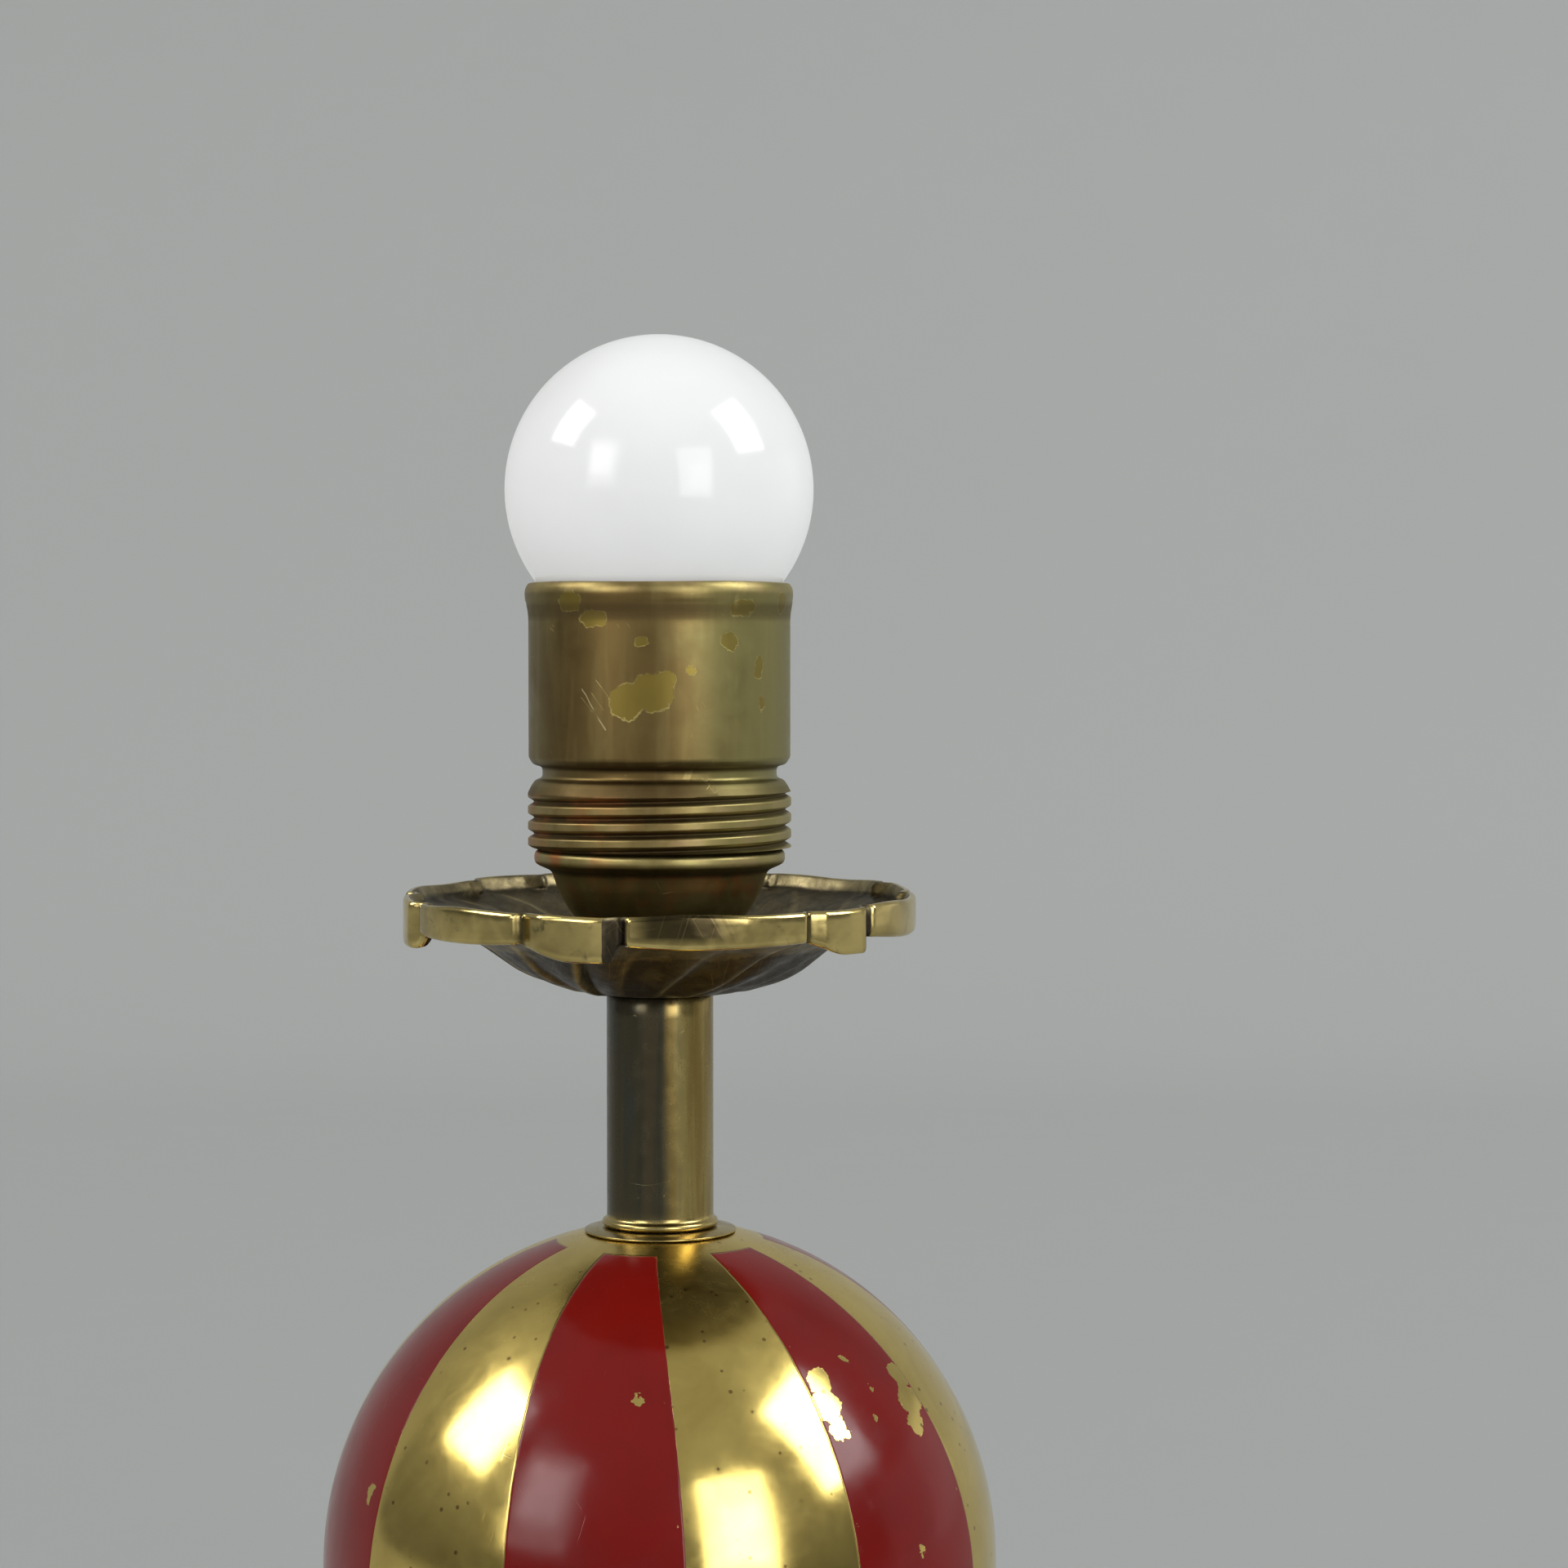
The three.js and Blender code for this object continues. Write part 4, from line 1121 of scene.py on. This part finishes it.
def add_foot():
    bottom, top = heights("foot_shell")
    rim_r = half_width("foot_shell")
    outside = [
        (56, bottom), (60.4, bottom), *arc(rim_r - 2.2, 3.8, 2.2, -70, 75, 12), (59.4, 6.4),
        (59.2, 7.2), (59.2, 14), *arc(58, 14.2, 1.2, 0, 80, 6), (56.6, 15.7), (55.2, 16.1),
        *[(r, ogee(r)) for r in levels(53.8, 20, 1.0)], (19.2, 31), *arc(18.3, 32.2, 1.05, -55, 75, 8),
        (17.4, top), (BORE, top),
    ]
    inside = [
        (BORE, top - 1.2), (16.8, top - 1.2), (17.4, 32), (17.6, 31), (19.4, 29),
        *[(r, ogee(r) - 1.6) for r in levels(20.8, 52.4, 4)],
        (54.4, 15), (56.6, 14.6), (57.6, 14), (58, 13.4), (58, 7.2), (58.3, 5.6), (60, 4.8),
        (60.4, 3.8), (60, 2.9), (56, 2.8),
    ]
    foot = turned("foot", [*outside, *inside], "foot_brass", ["foot_shell"], sharp=FOOT_SHARP)
    cut_lead_outlet(foot)


def add_felt():
    top = heights("felt_pad")[1]
    outline = softened([(0, 0), (59.6, 0), (59.6, top), (0, top)], 0.35, closed=False)
    turned("felt", outline, "green_felt", ["felt_pad"], facets=128)


def add_lead_bush():
    """The bush for the lead, turned about its own axis and set in the back of the foot."""
    centre = middle("cord_gland")
    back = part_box("cord_gland")[1].y
    bore = 3.1
    outline = softened([
        (bore, -6.3), (3.9, -6.3), (4.1, -5.9), (4.1, -5.3), (3.6, -4.9), (3.6, -2), (4, -2),
        (4.05, -1.4), (3.95, -0.6), (3.7, 0), (bore, 0),
    ], 0.25)
    bush = turned("lead_bush", outline, "black_plastic", ["cord_gland"], facets=64)
    for vertex in bush.data.vertices:
        x, y, z = vertex.co
        vertex.co = (x, back + z, centre.z - y)


def finish_cad_nodes():
    """CAD nodes that are shown keep their shape and take the material of their slot."""
    slots = {row["node"]: row["material_slot"] for row in frame["record"]["subparts"]}
    for node, obj in frame["nodes"].items():
        obj.data.materials.clear()
        obj.data.materials.append(MATERIALS[slots[node]])


# ---- studio ----
HAZE = (0.97, 1.0, 0.99)
BEYOND = 0.34  # brightness of the room where the camera looks past the backdrop


def backdrop():
    """Pale grey, lighter towards the back. Past the view it turns to a black that glows like the room."""
    g = Graph("backdrop")
    x, depth, height = g.axes()
    black = (0.0, 0.0, 0.0)
    shade = g.mix(g.noise(160, 3, 0.5), (0.370, 0.380, 0.372), (0.380, 0.390, 0.382))
    shade = g.mix(g.spread(depth, 0.25, 1.35, 0.0, 1.0), shade, (0.515, 0.523, 0.515))
    shade = g.mix(g.between(height, 0.2, 0.7), shade, (0.545, 0.553, 0.545))
    aside = g.times(g.math("ABSOLUTE", x), 1.5)
    along = g.math("MAXIMUM", depth, g.times(depth, -1.5))
    reach = g.math("MAXIMUM", aside, along)
    edge = g.between(g.math("MAXIMUM", reach, height), 2.0, 4.4)
    g.set(Base_Color=g.mix(edge, shade, black))
    g.set(Emission_Color=g.mix(edge, black, HAZE), Emission_Strength=BEYOND)
    g.set(Roughness=g.varied(0.75, 0.9, 40, 3))
    return g.material


def add_stage():
    """A floor that curves up into a plain backdrop, in metres."""
    front = -5.0
    back = 1.9
    bend = 0.7
    top = 3.0
    reach = 5.0
    side = [(front, 0.0), (back - bend, 0.0)]
    for i in range(1, 16):
        t = math.radians(6 * i)
        side.append((back - bend + bend * math.sin(t), bend - bend * math.cos(t)))
    side.append((back, top))
    vertices = [(x, y, z) for x in (-reach, reach) for y, z in side]
    count = len(side)
    faces = [(k, k + 1, count + k + 1, count + k) for k in range(count - 1)]
    mesh = bpy.data.meshes.new("stage")
    mesh.from_pydata(vertices, [], faces)
    mesh.shade_smooth()
    mesh.materials.append(backdrop())
    stage = linked("stage", mesh)


def add_panel(name, azimuth, elevation, distance, width, height, radiance, colour):
    """A soft panel that faces the lamp, in metres; azimuth 0 is the camera's side."""
    data = bpy.data.lights.new(name, "AREA")
    data.shape = "RECTANGLE"
    data.size = width
    data.size_y = height
    data.energy = radiance * math.pi * width * height
    data.color = colour
    panel = linked(name, data)
    turn = math.radians(azimuth)
    rise = math.radians(elevation)
    flat = math.cos(rise)
    direction = Vector((math.sin(turn) * flat, -math.cos(turn) * flat, math.sin(rise)))
    panel.location = Vector((0, 0, 0.2)) + direction * distance
    panel.rotation_euler = direction.to_track_quat("Z", "Y").to_euler()
    panel.visible_camera = False


def add_lights():
    warm = (1, 0.995, 0.98)
    cool = (0.985, 0.995, 1)
    add_panel("window_left", -83, 38, 2.6, 1.05, 1.1, 6.5, warm)
    add_panel("window_right", 79, 38, 2.6, 1.2, 1.45, 6.5, cool)
    add_panel("window_front_right", 29, 14, 0.75, 0.33, 0.46, 3.3, cool)
    add_panel("lamp_front_right", 31, 11, 0.74, 0.2, 0.24, 1.4, cool)
    add_panel("window_front_left", -41, 20, 0.75, 0.30, 0.42, 2.6, warm)
    add_panel("lamp_front_left", -42, 22, 0.74, 0.2, 0.24, 3.6, warm)
    add_panel("right_wall", 108, 6, 2.6, 2.2, 1.0, 0.3, cool)
    add_panel("low_fill", -4, -1, 2.6, 2.6, 0.7, 0.35, cool)


def add_room():
    """Dim near the horizon and lighter overhead, with plain grey where the camera looks past the floor."""
    world = bpy.data.worlds.new("room")
    world.use_nodes = True
    tree = world.node_tree
    background = tree.nodes["Background"]
    background.inputs["Color"].default_value = (*HAZE, 1)
    place = tree.nodes.new("ShaderNodeTexCoord")
    split = tree.nodes.new("ShaderNodeSeparateXYZ")
    tree.links.new(place.outputs["Generated"], split.inputs[0])
    rise = tree.nodes.new("ShaderNodeMapRange")
    tree.links.new(split.outputs["Z"], rise.inputs["Value"])
    ends = {"From Min": 0.0, "From Max": 0.75, "To Min": 0.12, "To Max": 0.38}
    for key, value in ends.items():
        rise.inputs[key].default_value = value
    seen = tree.nodes.new("ShaderNodeLightPath")
    choose = tree.nodes.new("ShaderNodeMix")
    tree.links.new(seen.outputs["Is Camera Ray"], choose.inputs[0])
    tree.links.new(rise.outputs[0], choose.inputs[2])
    choose.inputs[3].default_value = BEYOND
    tree.links.new(choose.outputs[0], background.inputs["Strength"])
    scene.world = world
    scene.view_settings.view_transform = "Standard"
    scene.view_settings.look = "None"


add_camera()
finish_cad_nodes()
add_bulb()
add_screw_cap()
add_holder_shell()
add_holder_cap()
add_contact_spring()
add_drip_pan()
add_pan_spacer()
add_tube()
add_collars()
add_neck()
add_ball()
add_foot()
add_felt()
add_lead_bush()
add_stage()
add_lights()
add_room()
